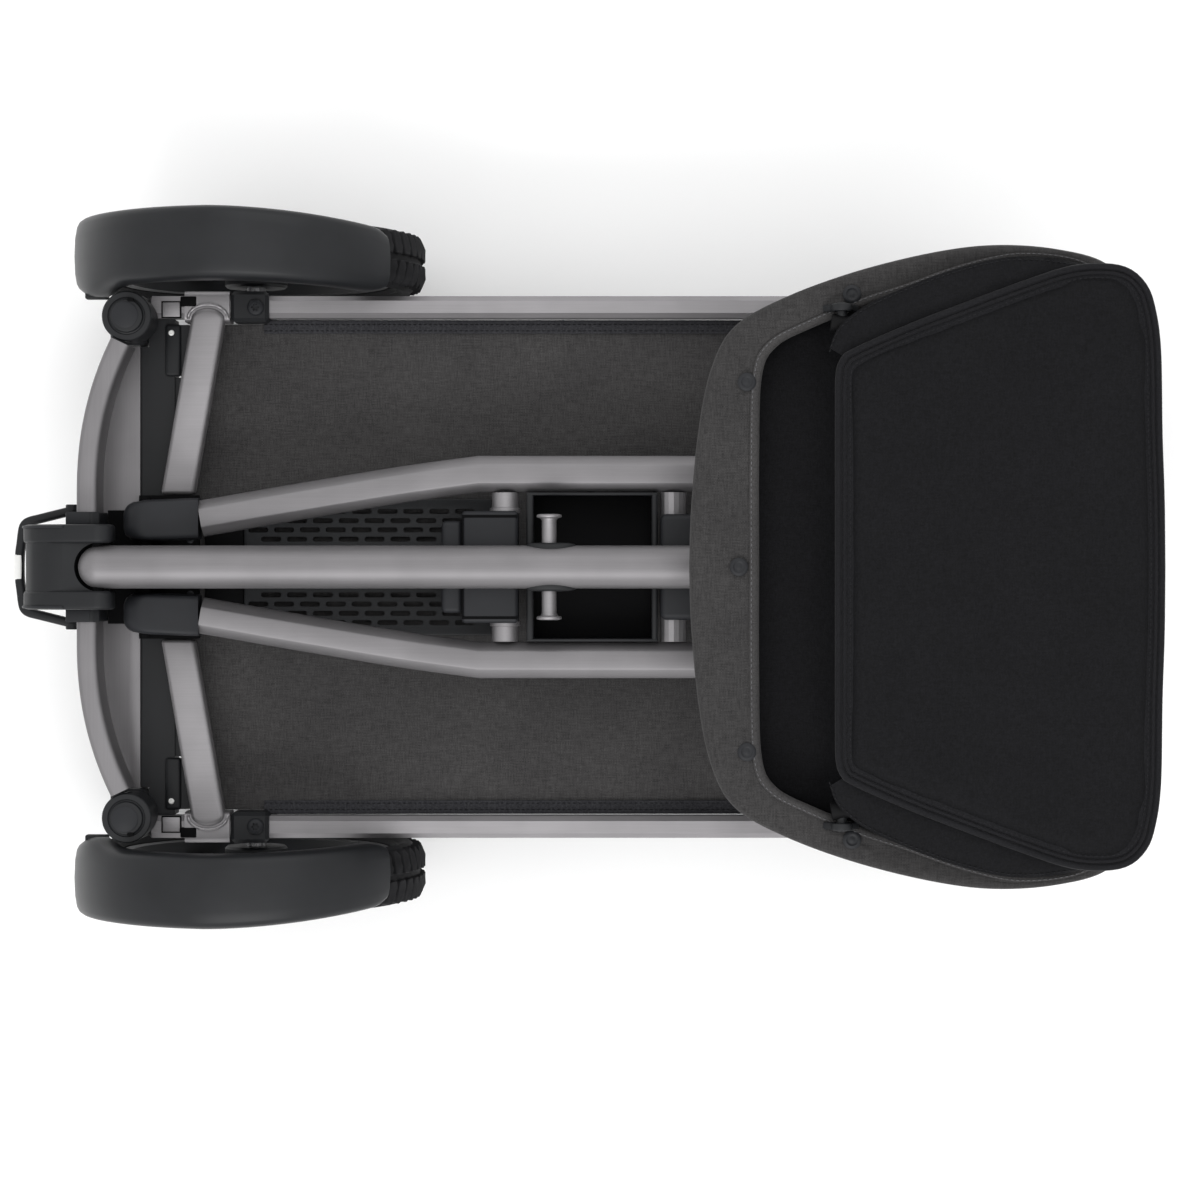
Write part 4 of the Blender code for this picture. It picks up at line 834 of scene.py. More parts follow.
def bar_pieces():
    low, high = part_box("rear_bar")
    bm = bmesh.new()
    middle = lerp(low.z, high.z, 0.5)
    path = [(bar_centre(y), y, middle) for y in evenly(-0.1803, 0.1803, 72)]
    path += []
    sweep(bm, path, oval(0.0165, high.z - low.z, 0.004, 5))
    finished("bowed_bar", bm, "bar", "chassis", ["rear_bar"])
    plate = bmesh.new()
    edge = [(bar_centre(y) - 0.002, y) for y in evenly(-0.1805, 0.1805, 60)]
    slab(plate, edge + [(-0.3545, 0.1805), (-0.3545, -0.1805)], 0.1762, 0.1795, 0.0008, segments=2)
    sweep(plate, [(x + 0.0012, y, 0.18) for x, y in edge], oval(0.0022, 0.003, 0.0009, 3))
    finished("bar_plate", plate, "bar", "chassis", ["rear_plate"])

    block_bm = bmesh.new()
    rear, front, top = -0.3982, -0.3812, 0.2353
    eye = (-0.376, 0.262)
    outline = [(rear, 0.2125), (rear, top), (front, top), (eye[0] + 0.01, top)]
    outline += arc(eye, 0.0115, -20, 100, 10)
    outline += [(-0.4, 0.269), (-0.417, 0.2652), (-0.429, 0.259), (-0.4365, 0.249), (-0.4396, 0.236)]
    outline += [(-0.4396, 0.224), (-0.434, 0.2125)]
    for low_y, high_y in ((-0.0338, -0.0188), (0.0188, 0.0338)):
        slab(block_bm, outline, low_y, high_y, 0.003, True, 4)
    back = [(rear, 0.2125), (-0.3955, top), (-0.3955, 0.256), (-0.401, 0.2655)]
    back += [(-0.4165, 0.264), (-0.428, 0.258)]
    back += [(-0.435, 0.248), (-0.4378, 0.236), (-0.4378, 0.224), (-0.434, 0.2125)]
    slab(block_bm, back, -0.0205, 0.0205, 0.001, True)
    block(block_bm, (-0.399, -0.0205, 0.2354), (-0.37, 0.0205, 0.2415), 0.001)
    # the pocket round the tube's end leaves room for it to turn on its pin
    pocket = arc((-0.375, 0.0), 0.0193, 97, 263, 24)
    shoe = [(-0.404, -0.0205), (-0.404, 0.0205), (-0.3775, 0.0205), *pocket, (-0.3775, -0.0205)]
    slab(block_bm, shoe, 0.236, 0.2655)
    for sign in (1, -1):
        low_y, high_y = spread(sign, 0.033, 0.044)
        collar = [(-0.406, 0.194), (-0.406, 0.2365), (-0.402, 0.24)]
        collar += [(-0.384, 0.24), (-0.3787, 0.2365)]
        collar += [(-0.3787, 0.194), (-0.3812, 0.192), (-0.3812, 0.2353), (rear, 0.2353), (rear, 0.192)]
        slab(block_bm, collar, low_y, high_y, 0.001, True)
    finished("pivot_block", block_bm, "plastic", "chassis", ["centre_block"])
    # painted highlight: raised strips in the lighter dark grey along the block's rounded rear edge and on the
    # collar tops stand for the light on those edges
    edge_bm = bmesh.new()
    for sign in (1, -1):
        line = [(-0.4395, 0.226), (-0.44, 0.236), (-0.437, 0.2492), (-0.4292, 0.2594)]
        line += [(-0.4172, 0.2656), (-0.403, 0.2688)]
        path = [(x + 0.0004, sign * 0.0318, z - 0.0006) for x, z in line]
        sweep(edge_bm, smooth_path(path, 6), oval(0.0022, 0.0022, 0.0009, 2), up=(0, 1, 0))
        low_y, high_y = spread(sign, 0.0344, 0.044)
        block(edge_bm, (-0.405, low_y, 0.2396), (-0.386, high_y, 0.2404), 0.0003)
    finished("block_ribs", edge_bm, "dark", "chassis")

    heads = [Vector((-0.259, sign * 0.211, 0.1921)) for _, sign in SIDES]
    set_on("clamp_screws", screw_head(0.0068, 0.0028), heads, "dark", "chassis")
    stops = [Vector((-0.3293, sign * 0.1914, 0.1787)) for _, sign in SIDES]
    set_on("stop_screws", screw_head(0.0024, 0.0012), stops, "white", "chassis")
    tabs = bmesh.new()
    for _, sign in SIDES:
        low_y, high_y = spread(sign, 0.156, 0.1985)
        block(tabs, (-0.3346, low_y, 0.17), (-0.3213, high_y, 0.1787), 0.0026)
    finished("rail_stops", tabs, "plastic", "chassis")
    bolts = [Vector((-0.3105, y, 0.2041)) for y in (-0.05, -0.022, 0.022, 0.05)]
    set_on("bracket_screws", screw_head(0.003, 0.0016), bolts, "dark", "chassis")


def pedal():
    low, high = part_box("brake_pedal")
    bm = bmesh.new()
    z = lerp(low.z, high.z, 0.5)
    half = [(-0.402, 0.0467), (-0.412, 0.0442), (-0.43, 0.0397), (-0.44, 0.0372), (-0.4442, 0.0348)]
    half += [(-0.4462, 0.0305), (-0.4476, 0.02), (-0.4489, 0.009)]
    route = half + [(x, -y) for x, y in reversed(half)]
    sweep(bm, smooth_path([(x, y, z) for x, y in route], 8), oval(0.0074, 0.0098, 0.0026, 4))
    for sign in (1, -1):
        rod(bm, (-0.406, sign * 0.045, z), (-0.406, sign * 0.0506, z), 0.0058)
    finished("pedal_loop", bm, "plastic", "pedal", ["brake_pedal"])
    insert = bmesh.new()
    block(insert, (-0.4535, -0.0102, z - 0.0052), (-0.4465, 0.0102, z + 0.0052), 0.0014)
    for y in (-0.0066, -0.0022, 0.0022, 0.0066):
        block(insert, (-0.4541, y - 0.0009, z - 0.004), (-0.453, y + 0.0009, z + 0.004), 0.0003)
    finished("pedal_pad", insert, "white", "pedal", ["pedal_insert"])


def arms():
    """Two bowed flat-oval tubes with their knuckles, the boxes, the tray and the cross tubes."""
    corners_of = [(0.0145, -0.0045), (0.0145, 0.0045), (0.0072, 0.012), (-0.0072, 0.012)]
    corners_of += [(-0.0145, 0.0045), (-0.0145, -0.0045), (-0.0072, -0.012), (0.0072, -0.012)]
    section = []
    for before, here, after in zip(corners_of[-1:] + corners_of, corners_of, corners_of[1:] + corners_of[:1]):
        for other in (before, after):
            span = math.dist(here, other)
            section.append(tuple(lerp(a, b, 0.0008 / span) for a, b in zip(here, other)))
    z = 0.225
    for tag, sign in SIDES:
        route = [(-0.2988, 0.0388), (-0.265, 0.0447), (-0.23, 0.0508), (-0.1395, 0.0658), (-0.076, 0.0746)]
        points = smooth_path([(x, sign * y, z) for x, y in route], 12) + [Vector((0.228, sign * 0.0746, z))]
        bm = bmesh.new()
        sweep(bm, points, section)
        finished("arm_tube_" + tag, bm, "tube", "arms", ["lift_arm_" + tag], sharp=28)
        knuckle = bmesh.new()
        low, high = spread(sign, 0.02, 0.053)
        rings = []
        for k in range(25):
            y = lerp(low, high, k / 24)
            depth = min(k, 24 - k) / 24 * (high - low)
            shift = 0.012 * (1 - math.sqrt(1 - (1 - min(1.0, depth / 0.012)) ** 2))
            r = 0.0173 - 0.004 * (1 - math.sqrt(1 - (1 - min(1.0, depth / 0.004)) ** 2))
            nose = [(-0.308, 0.001 - r), (-0.3, 0.004 - r), (-0.3, r - 0.004), (-0.308, r - 0.001)]
            shape = arc((-0.344 + shift, z), r, 90, 270, 16) + [(x, z + h) for x, h in nose]
            rings.append([knuckle.verts.new((x, y + sign * 0.036 * (x + 0.361), h)) for x, h in shape])
        loft(knuckle, rings)
        finished("knuckle_" + tag, knuckle, "dark", "arms", ["arm_knuckle_" + tag])
        stub = bmesh.new()
        low, high = spread(sign, 0.0452, 0.0598)
        rod(stub, (-0.055, low, z), (-0.055, high, z), 0.0108)
        low, high = spread(sign, 0.043, 0.0475)
        rod(stub, (-0.055, low, z), (-0.055, high, z), 0.0124)
        finished("stub_sleeve_" + tag, stub, "rail", "arms")
    dress("rail", "cross_tube_rear", "cross_tube_front")
    boxes = bmesh.new()
    low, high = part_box("latch_box")
    block(boxes, (-0.0895, -0.0448, low.z), (-0.0442, 0.0448, 0.2423), 0.0035, 4)
    block(boxes, (-0.1056, -0.0368, 0.213), (-0.089, 0.0368, 0.239), 0.004, 4)
    finished("latch_housing", boxes, "dark", "arms", ["latch_box"])
    # painted shade: thin strips of the shade black along the gaps in the latch housing's top
    seams = bmesh.new()
    for y in (-0.0405, 0.0405):
        block(seams, (-0.089, y - 0.0011, 0.2415), (-0.0448, y + 0.0011, 0.2429), 0.0004)
    block(seams, (-0.0893, -0.04, 0.2415), (-0.088, 0.04, 0.2429), 0.0004)
    finished("latch_seams", seams, "shadow", "arms")
    front = bmesh.new()
    block(front, (0.0692, -0.0423, 0.209), (0.1298, 0.0423, 0.2423), 0.005, 4)
    finished("front_housing", front, "dark", "arms", ["front_box"])
    tray_piece()


def tray_piece():
    """The open tray between the boxes with its two bars."""
    bm = bmesh.new()
    x0, x1, y1, z0, z1 = -0.0378, 0.0673, 0.0596, 0.206, 0.236
    block(bm, (x0, -y1, z0), (x1, y1, z0 + 0.003), 0.0008)
    for side in (1, -1):
        low, high = spread(side, y1 - 0.0024, y1)
        block(bm, (x0, low, z0), (x1, high, z1), 0.0009)
    for low, high in ((x0, x0 + 0.0058), (x1 - 0.005, x1)):
        block(bm, (low, -y1, z0), (high, y1, z1), 0.0018)
    finished("tray_shell", bm, "plastic", "arms", ["pocket_tray"])
    # painted shade: a sheet of the shade black over the tray floor darkens the recess
    mat = bmesh.new()
    block(mat, (x0 + 0.006, -y1 + 0.0026, z0 + 0.0031), (x1 - 0.0052, y1 - 0.0026, z0 + 0.0046), 0.0005)
    finished("tray_mat", mat, "shadow", "arms")


def lift_tube():
    """The round lifting tube, its lens-shaped grommets and the cross pin with flared feet."""
    low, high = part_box("lift_tube")
    r, z = 0.017, 0.262
    bm = bmesh.new()
    length = high.x - low.x
    dome = [(r * math.sin(t), r - r * math.cos(t) - 0.004) for t in (math.radians(6 * k) for k in range(16))]
    bore = r - 0.0028
    profile = dome + [(r, length - 0.0015), (r - 0.0015, length), (bore, length), (bore, length - 0.004)]
    profile += [(0, length - 0.004)]
    lathe(bm, profile, (low.x, 0, z), (1, 0, 0), 72)
    finished("lifting_tube", bm, "tube", "lift_tube", ["lift_tube"])
    pin_x = -0.0192
    lens = bmesh.new()
    for sign in (1, -1):
        side = bmesh.new()
        rings = []
        levels = ((0.0135, 1), (0.017, 0.98), (0.0184, 0.88), (0.0191, 0.66), (0.0194, 0.34), (0.0195, 0.04))
        turns = [math.pi * k / 24 for k in range(48)]
        for out, share in levels:
            shape = [(0.0205 * share * math.cos(t), 0.0095 * share * math.sin(t)) for t in turns]
            shape += []
            rings.append([side.verts.new((pin_x + 0.0015 + a, sign * out, z + b)) for a, b in shape])
        loft(side, rings)
        join(lens, side)
    covered = ["pin_grommet_l", "pin_grommet_r"]
    finished("pin_grommets", lens, "plastic", "lift_tube", covered, sharp=50)
    pin = bmesh.new()
    for sign in (1, -1):
        shaft = [(0, 0.016), (0.0058, 0.016), (0.0058, 0.0365), (0.0068, 0.0384)]
        shaft += [(0.0096, 0.0392), (0.01, 0.0402)]
        shaft += [(0.0097, 0.0413), (0.007, 0.0419), (0, 0.042)]
        lathe(pin, shaft, (pin_x, 0, z), (0, sign, 0), 48)
    finished("pull_pin", pin, "rail", "lift_tube", ["cross_pin"])


def deck():
    """The slotted plate, the stretched fabric deck, its keder strips and seams."""
    low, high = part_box("slotted_plate")
    plate = bmesh.new()
    block(plate, low - Vector((0.022, 0, 0)), high, 0.0012, 2)
    cutter = bmesh.new()
    slab(cutter, oval(0.0165, 0.0042, 0.002, 4), -0.006, 0.006)
    helper = raw("slot_cutter", cutter)
    values = {"Cutter": helper, "Columns": 9, "Rows": 13, "Pitch X": 0.0212, "Pitch Y": 0.0076}
    values |= {"Centre": (-0.1744, 0.0, low.z + 0.002), "Material": M["plastic"]}
    mesh = grown(raw("plate_blank", plate), TREES["slots"], values, (helper,))
    finished("slot_plate", mesh, "plastic", "chassis", ["slotted_plate"])

    # painted shade: a sheet of the shade black left of the slotted plate, for the shade between the arms and
    # the tube
    shade_sheet = bmesh.new()
    block(shade_sheet, (-0.303, -0.05, low.z + 0.0002), (-0.2715, 0.05, low.z + 0.0022), 0.0006)
    finished("plate_skirt", shade_sheet, "shadow", "chassis")

    low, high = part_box("fabric_deck")
    bm = bmesh.new()
    nx, ny = 150, 92
    grid = {}
    for layer, sink in ((0, 0.0), (1, 0.0016)):
        for i in range(nx + 1):
            for j in range(ny + 1):
                x, y = lerp(low.x, high.x, i / nx), lerp(low.y, high.y, j / ny)
                edge = min(i, nx - i) / nx * (high.x - low.x), min(j, ny - j) / ny * (high.y - low.y)
                drop = 0.0042 * (1 - math.exp(-min(edge) / 0.05))
                ripple = 0.0008 * noise.noise((x * 26, y * 11, 0.3)) * min(1.0, min(edge) / 0.02)
                grid[layer, i, j] = bm.verts.new((x, y, high.z - 0.0002 - drop + ripple - sink))
    for i in range(nx):
        for j in range(ny):
            for layer in (0, 1):
                quad = [grid[layer, i + a, j + b] for a, b in ((0, 0), (1, 0), (1, 1), (0, 1))]
                bm.faces.new(quad if layer == 0 else quad[::-1])
    for i in range(nx):
        for j in (0, ny):
            bm.faces.new((grid[0, i, j], grid[0, i + 1, j], grid[1, i + 1, j], grid[1, i, j]))
    for j in range(ny):
        for i in (0, nx):
            bm.faces.new((grid[0, i, j], grid[0, i, j + 1], grid[1, i, j + 1], grid[1, i, j]))
    cloth = finished("deck_cloth", bm, "melange", "chassis", ["fabric_deck"], sharp=80)
    for tag, sign in SIDES:
        keder = bmesh.new()
        path = [(x, sign * 0.1971, 0.1673) for x in evenly(-0.2545, 0.322, 60)]
        sweep(keder, path, oval(0.0112, 0.0034, 0.0014, 4))
        finished("keder_" + tag, keder, "keder", "chassis")
        lines = [[(x, sign * y, 0.1692) for x in evenly(-0.253, 0.32, 40)] for y in (0.1936, 0.1988)]
        stitches("keder_stitches_" + tag, lines, "chassis", material="black_thread")


# half outlines as shares of the cabin's length and half width, rear middle first
RIM_OUTER = [(0.0, 0.0), (0.004, 0.18), (0.02, 0.42), (0.047, 0.61)]
RIM_OUTER += [(0.098, 0.745), (0.205, 0.834), (0.36, 0.915)]
RIM_OUTER += [(0.53, 0.975), (0.67, 1.0), (0.81, 0.988), (0.925, 0.94)]
RIM_OUTER += [(0.985, 0.82), (1.0, 0.55), (1.0, 0.0)]
RIM_INNER = [(0.151, 0.0), (0.151, 0.33), (0.157, 0.59), (0.19, 0.685)]
RIM_INNER += [(0.27, 0.745), (0.395, 0.815), (0.485, 0.855)]
RIM_INNER += [(0.62, 0.92), (0.75, 0.955), (0.875, 0.925), (0.945, 0.8), (0.965, 0.55), (0.965, 0.0)]


def outline(shares, count):
    """A closed outline round the cabin, with the same number of points on each side."""
    low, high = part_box("cabin_rim")
    points = [(low.x + a * (high.x - low.x), b * high.y, 0) for a, b in shares]
    half = resample(smooth_path(points, 8), count)
    for p in half:
        p.y = max(0.0, p.y)
    return half + [Vector((p.x, -p.y, 0)) for p in reversed(half[1:-1])]


def moved_in(loop, distance):
    """An outline moved inwards by a distance."""
    made = []
    count = len(loop)
    for i, here in enumerate(loop):
        along = (loop[(i + 1) % count] - loop[i - 1]).normalized()
        made.append(here + Vector((along.y, -along.x, 0)) * distance)
    return made


def cabin():
    """The floor, its pad, and the pleated wall that opens when the rim rises."""
    outer = outline(RIM_OUTER, 110)
    dress("plastic", "cabin_floor")
    low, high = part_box("floor_pad")
    pad_edge = moved_in(outer, 0.0165)
    pad = bmesh.new()
    fill_top(pad, pad_edge, low.z + 0.0004, high.z - 0.003)
    swollen = puffed(pad, 0.004, 0.005)
    finished_pad = finished("floor_cushion", swollen, "lining", "cabin_base", ["floor_pad"], sharp=80)

    wall = bmesh.new()
    rings = []
    rows = 90
    base, top = 0.2974, 0.3249
    for face, sign in ((0.0, 1), (0.0016, -1)):
        for k in range(rows + 1):
            row = k if sign > 0 else rows - k
            s = row / rows
            fold = 0.0048 * math.sin(math.pi * 18 * s)
            tucked = 0.005 * max(0.0, (s - 0.95) / 0.05)
            ring = []
            for p in moved_in(outer, 0.0098 + face - tucked):
                ripple = 0.0007 * noise.noise((p.x * 30, p.y * 30, s * 3))
                inward = (p - Vector((0.27, 0, 0))).normalized() * (fold + ripple)
                ring.append(wall.verts.new((p.x + inward.x, p.y + inward.y, lerp(base, top, s))))
            rings.append(ring)
    loft(wall, rings, True)
    cloth = finished("wall_cloth", wall, "melange", None, ["cabin_wall"], sharp=80)
    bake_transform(cloth)


def fill_top(bm, loop, low, high):
    """A closed cushion form: upright sides over the outline and an eased top edge."""
    rings = []
    layers = [(0.0, low), (0.0, lerp(low, high, 0.7)), (0.0025, high)]
    for inward, z in layers:
        rings.append([bm.verts.new((p.x, p.y, z)) for p in moved_in(loop, inward)])
    loft(bm, rings)


def puffed(bm, voxel, cap):
    """Swells a closed form by cloth pressure, with no point moving further than the cap."""
    bmesh.ops.recalc_face_normals(bm, faces=bm.faces)
    mesh = bpy.data.meshes.new("pad")
    bm.to_mesh(mesh)
    bm.free()
    obj = bpy.data.objects.new("pad", mesh)
    scene = bpy.context.scene
    scene.collection.objects.link(obj)
    remesh = obj.modifiers.new("remesh", "REMESH")
    remesh.mode = "VOXEL"
    remesh.voxel_size = voxel
    graph = bpy.context.evaluated_depsgraph_get()
    even = bpy.data.meshes.new_from_object(obj.evaluated_get(graph), depsgraph=graph)
    obj.modifiers.clear()
    obj.data = even
    before = [v.co.copy() for v in even.vertices]
    cloth = obj.modifiers.new("cloth", "CLOTH")
    cloth.settings.use_pressure = True
    cloth.settings.uniform_pressure_force = 4.0
    cloth.settings.effector_weights.gravity = 0.0
    cloth.settings.quality = 4
    cloth.settings.mass = 0.3
    cloth.settings.tension_stiffness = 8
    cloth.settings.compression_stiffness = 8
    cloth.collision_settings.use_collision = False
    for step in range(1, 15):
        scene.frame_set(step)
    graph = bpy.context.evaluated_depsgraph_get()
    blown = bpy.data.meshes.new_from_object(obj.evaluated_get(graph), depsgraph=graph)
    obj.modifiers.clear()
    scene.frame_set(1)
    for vertex, home, moved in zip(even.vertices, before, blown.vertices):
        step = moved.co - home
        if step.length > cap:
            step *= cap / step.length
        vertex.co = home + step
    bpy.data.meshes.remove(blown)
    bpy.data.objects.remove(obj, do_unlink=True)
    made = bmesh.new()
    made.from_mesh(even)
    for _ in range(3):
        axes = {"use_axis_x": True, "use_axis_y": True, "use_axis_z": True}
        bmesh.ops.smooth_vert(made, verts=made.verts, factor=0.5, **axes)
    bpy.data.meshes.remove(even)
    return made


def rim():
    """The padded fabric rim: a crowned band, its binding, stitches and press studs."""
    count = 150
    outer, inner = outline(RIM_OUTER, count), outline(RIM_INNER, count)
    studs = stud_places()
    low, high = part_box("cabin_rim")
    bm = bmesh.new()
    rings = []
    top = high.z - 0.0012
    for a, b in zip(outer, inner):
        width = (b - a).length
        along = (b - a) / width
        rows = [(0.0005, low.z + 0.0006), (0.0, low.z + 0.006), (0.0003, top - 0.006), (0.0014, top - 0.0028)]
        flank = min(0.0085, width * 0.42)
        rows += [(flank * 0.47, top - 0.0006)] + [(d, top) for d in evenly(flank, width - flank, 12)]
        rows += []
        rows += [(width - flank * 0.35, top - 0.0004), (width - 0.0008, top - 0.0018), (width, top - 0.005)]
        rows += [(width, low.z + 0.0006)]
        ring = []
        for k, (d, z) in enumerate(rows):
            p = a + along * d
            if 3 <= k <= len(rows) - 4:
                share = min(1.0, min(d, width - d) / 0.01)
                z += 0.0009 * math.sin(math.pi * min(1.0, d / width))
                z += 0.0026 * noise.noise((p.x * 15, p.y * 15, 1.7)) * share
                z += 0.0008 * noise.noise((p.x * 60, p.y * 60, 4.1)) * share
                for stud in studs:
                    away = (p.xy - stud.xy).length
                    turn = math.atan2(p.y - stud.y, p.x - stud.x)
                    pucker = math.exp(-((away / 0.02) ** 2)) * min(1.0, away / 0.006)
                    z += pucker * (0.0008 * math.sin(7 * turn + stud.x * 90) - 0.0006) * share
            ring.append(bm.verts.new((p.x, p.y, z)))
        rings.append(ring)
    loft(bm, rings, True)
    band = finished("rim_band", bm, "rim", "cabin_rim", ["cabin_rim"], sharp=80)

    hem = bmesh.new()
    rings = []
    for a, b in zip(outer, inner):
        width = (b - a).length
        along = (b - a) / width
        tape = min(0.0066, width * 0.42)
        rows = [(width + 0.0009, top - 0.01), (width + 0.001, top - 0.003)]
        rows += [(width - 0.0006, top + 0.0002)]
        rows += [(width - 0.003, top + 0.0013), (width - tape + 0.001, top + 0.0016)]
        rows += [(width - tape, top + 0.001)]
        rows += [(width - tape, top - 0.0004), (width - 0.003, top - 0.0012), (width - 0.0008, top - 0.01)]
        rings.append([hem.verts.new((*(a + along * d).xy, z)) for d, z in rows])
    loft(hem, rings, True)
    finished("rim_binding", hem, "hem", "cabin_rim", sharp=60)
    line = []
    for a, b in zip(outer, inner):
        width = (b - a).length
        d = width - min(0.0066, width * 0.42) + 0.0014
        line.append(((a + (b - a) / width * d).x, (a + (b - a) / width * d).y, top + 0.0017))
    stitches("rim_stitches", [line], "cabin_rim", closed=True)
    head = bmesh.new()
    dome = [(0.0068, 0.0), (0.0071, 0.001), (0.0062, 0.0018), (0.0046, 0.002)]
    dome += [(0.0036, 0.0013), (0.0026, 0.0012)]
    lathe(head, dome + [(0.0012, 0.0019), (0, 0.002), (0, 0.0)], (0, 0, 0), (0, 0, 1), 36)
    set_on("press_studs", head, [Vector((s.x, s.y, top + 0.0005)) for s in studs], "dark", "cabin_rim")


def stud_places():
    """The five press studs on the rim."""
    spots = [(0.1272, 0.0), (0.1333, 0.1414), (0.2136, 0.2085)]
    return [Vector((x, y * sign, 0)) for x, y in spots for sign in ((1, -1) if y else (1,))]


def bow_path(offset, z):
    """The handle's plan: slanted sides from the pivots to a straight bar, moved in by an offset."""
    corner, front = 0.055, 0.438 - offset
    slope = (0.221 - 0.186) / (0.438 - corner - 0.205)
    half = [(0.205, 0.186 - offset), (0.235, 0.186 - offset)]
    bend = (front - corner, 0.186 - offset + slope * (front - corner - 0.205))
    half += [bend] + arc((front - corner, bend[1] - corner), corner, 88, 0, 16)
    points = [Vector((x, y, z)) for x, y in half]
    return points + [Vector((p.x, -p.y, z)) for p in reversed(points)]


def handle():
    """The push handle with its foam grip, the pivot lugs and the hood bow."""
    z = 0.355
    bm = bmesh.new()
    path = bow_path(0.0, z)
    path[0].x -= 0.008
    path[-1].x -= 0.008
    dense = resample(smooth_path(path, 3), 180)
    circle = arc((0, 0), 0.007, 0, 345, 23)
    sweep(bm, dense, circle)
    finished("handle_tube", bm, "coated", "handle", ["handle_bow"])
    grip = bmesh.new()
    ribs = [(0.0073, 0.0998)]
    for i in range(50):
        y = 0.0996 - 0.1992 * i / 49
        ribs += [(0.0092, y), (0.0092, y - 0.0022), (0.0087, y - 0.003)]
    ribs = [p for p in ribs if p[1] > -0.0998] + [(0.0073, -0.0998)]
    lathe(grip, ribs, (0.438, 0, z), (0, 1, 0), 40, True)
    finished("foam_grip", grip, "foam", "handle", ["handle_grip"])
    for tag, sign in SIDES:
        lug = bmesh.new()
        low, high = spread(sign, 0.1947, 0.2003)
        shape = arc((0.205, z), 0.0083, -20, 200, 18) + [(0.191, 0.3455), (0.219, 0.3455)]
        slab(lug, shape, low, high, 0.001, True)
        first, last = sign * 0.1697, sign * 0.2014
        rod(lug, (0.205, first, z), (0.205, last, z), 0.0039)
        finished("pivot_lug_" + tag, lug, "plastic", "cabin_rim", ["handle_lug_" + tag])
    bow = bmesh.new()
    path = bow_path(0.014, z)
    path[0].x -= 0.0072
    path[-1].x -= 0.0072
    sweep(bow, resample(smooth_path(path, 3), 160), oval(0.004, 0.011, 0.0014, 3))
    finished("hood_hoop", bow, "plastic", "hood_bow", ["hood_bow"])


def panel_outline(inset=0.0):
    half = [(0.198, 0.0), (0.198, 0.06), (0.198, 0.12), (0.1985, 0.146), (0.202, 0.1575), (0.211, 0.165)]
    half += [(0.254, 0.184), (0.2969, 0.2005), (0.34, 0.2165)]
    half += [(0.374, 0.2275), (0.4, 0.23), (0.42, 0.2265)]
    half += [(0.4335, 0.215), (0.4405, 0.198), (0.4452, 0.165)]
    half += [(0.4464, 0.1), (0.448, 0.05), (0.4485, 0.0)]
    points = resample(smooth_path([(x, y, 0) for x, y in half], 8), 120)
    loop = points + [Vector((p.x, -p.y, 0)) for p in reversed(points[1:-1])]
    return moved_in(loop, inset) if inset else loop


def panel():
    """The padded panel over the handle: a swollen pad, piping, gussets, seams and the pleated hood."""
    low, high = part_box("padded_panel")
    pad = bmesh.new()
    fill_top(pad, panel_outline(0.0045), low.z + 0.0008, high.z - 0.005)
    swollen = puffed(pad, 0.0046, 0.005)
    body = finished("panel_pad", swollen, "lining", "handle", ["padded_panel"], sharp=80)
    pipe = bmesh.new()
    slab(pipe, [(p.x, p.y) for p in panel_outline(0.0034)], low.z + 0.0002, high.z - 0.0042, 0.0008)
    for inset, level, radius in ((0.003, high.z - 0.0048, 0.0026), (0.0078, high.z - 0.0036, 0.0013)):
        path = [Vector((p.x, p.y, level)) for p in panel_outline(inset)]
        sweep(pipe, path, arc((0, 0), radius, 0, 324, 9), closed=True)
    finished("panel_piping", pipe, "piping", "handle", sharp=60)
    gusset_lines = []
    gusset = bmesh.new()
    for sign in (1, -1):
        seam = [(0.206, 0.159), (0.2969, 0.197), (0.3572, 0.218), (0.404, 0.223)]
        edge = [(0.195, 0.166), (0.203, 0.183), (0.224, 0.199), (0.26, 0.215), (0.3, 0.2285), (0.3345, 0.235)]
        edge += [(0.372, 0.2325), (0.406, 0.224)]
        inner = resample(smooth_path([(x, sign * y, 0) for x, y in seam], 10), 50)
        outer = resample(smooth_path([(x, sign * y, 0) for x, y in edge], 8), 50)
        rings = []
        for k in range(50):
            a, b = inner[k], outer[k]
            sag = 0.0016 * math.sin(k * 0.9) * min(1, k / 8)
            ring = []
            for s, z in ((0, 0.369), (0.33, 0.3688 - sag * 0.4), (0.66, 0.368 + sag * 0.5), (1, 0.3662)):
                ring.append((lerp(a.x, b.x, s), lerp(a.y, b.y, s), z))
            under = [(x, y, z - 0.0014) for x, y, z in reversed(ring)]
            rings.append([gusset.verts.new(p) for p in ring + under])
        loft(gusset, rings)
        gusset_lines.append([(p.x, p.y - sign * 0.0022, 0.3674) for p in outer])
    finished("panel_gusset", gusset, "lining", "handle", sharp=70)
    stitches("gusset_stitches", gusset_lines, "handle", material="black_thread")
    line = [Vector((p.x, p.y, high.z - 0.0014)) for p in panel_outline(0.0118)]
    stitches("panel_stitches", [line], "handle", closed=True, material="black_thread")
    hood()


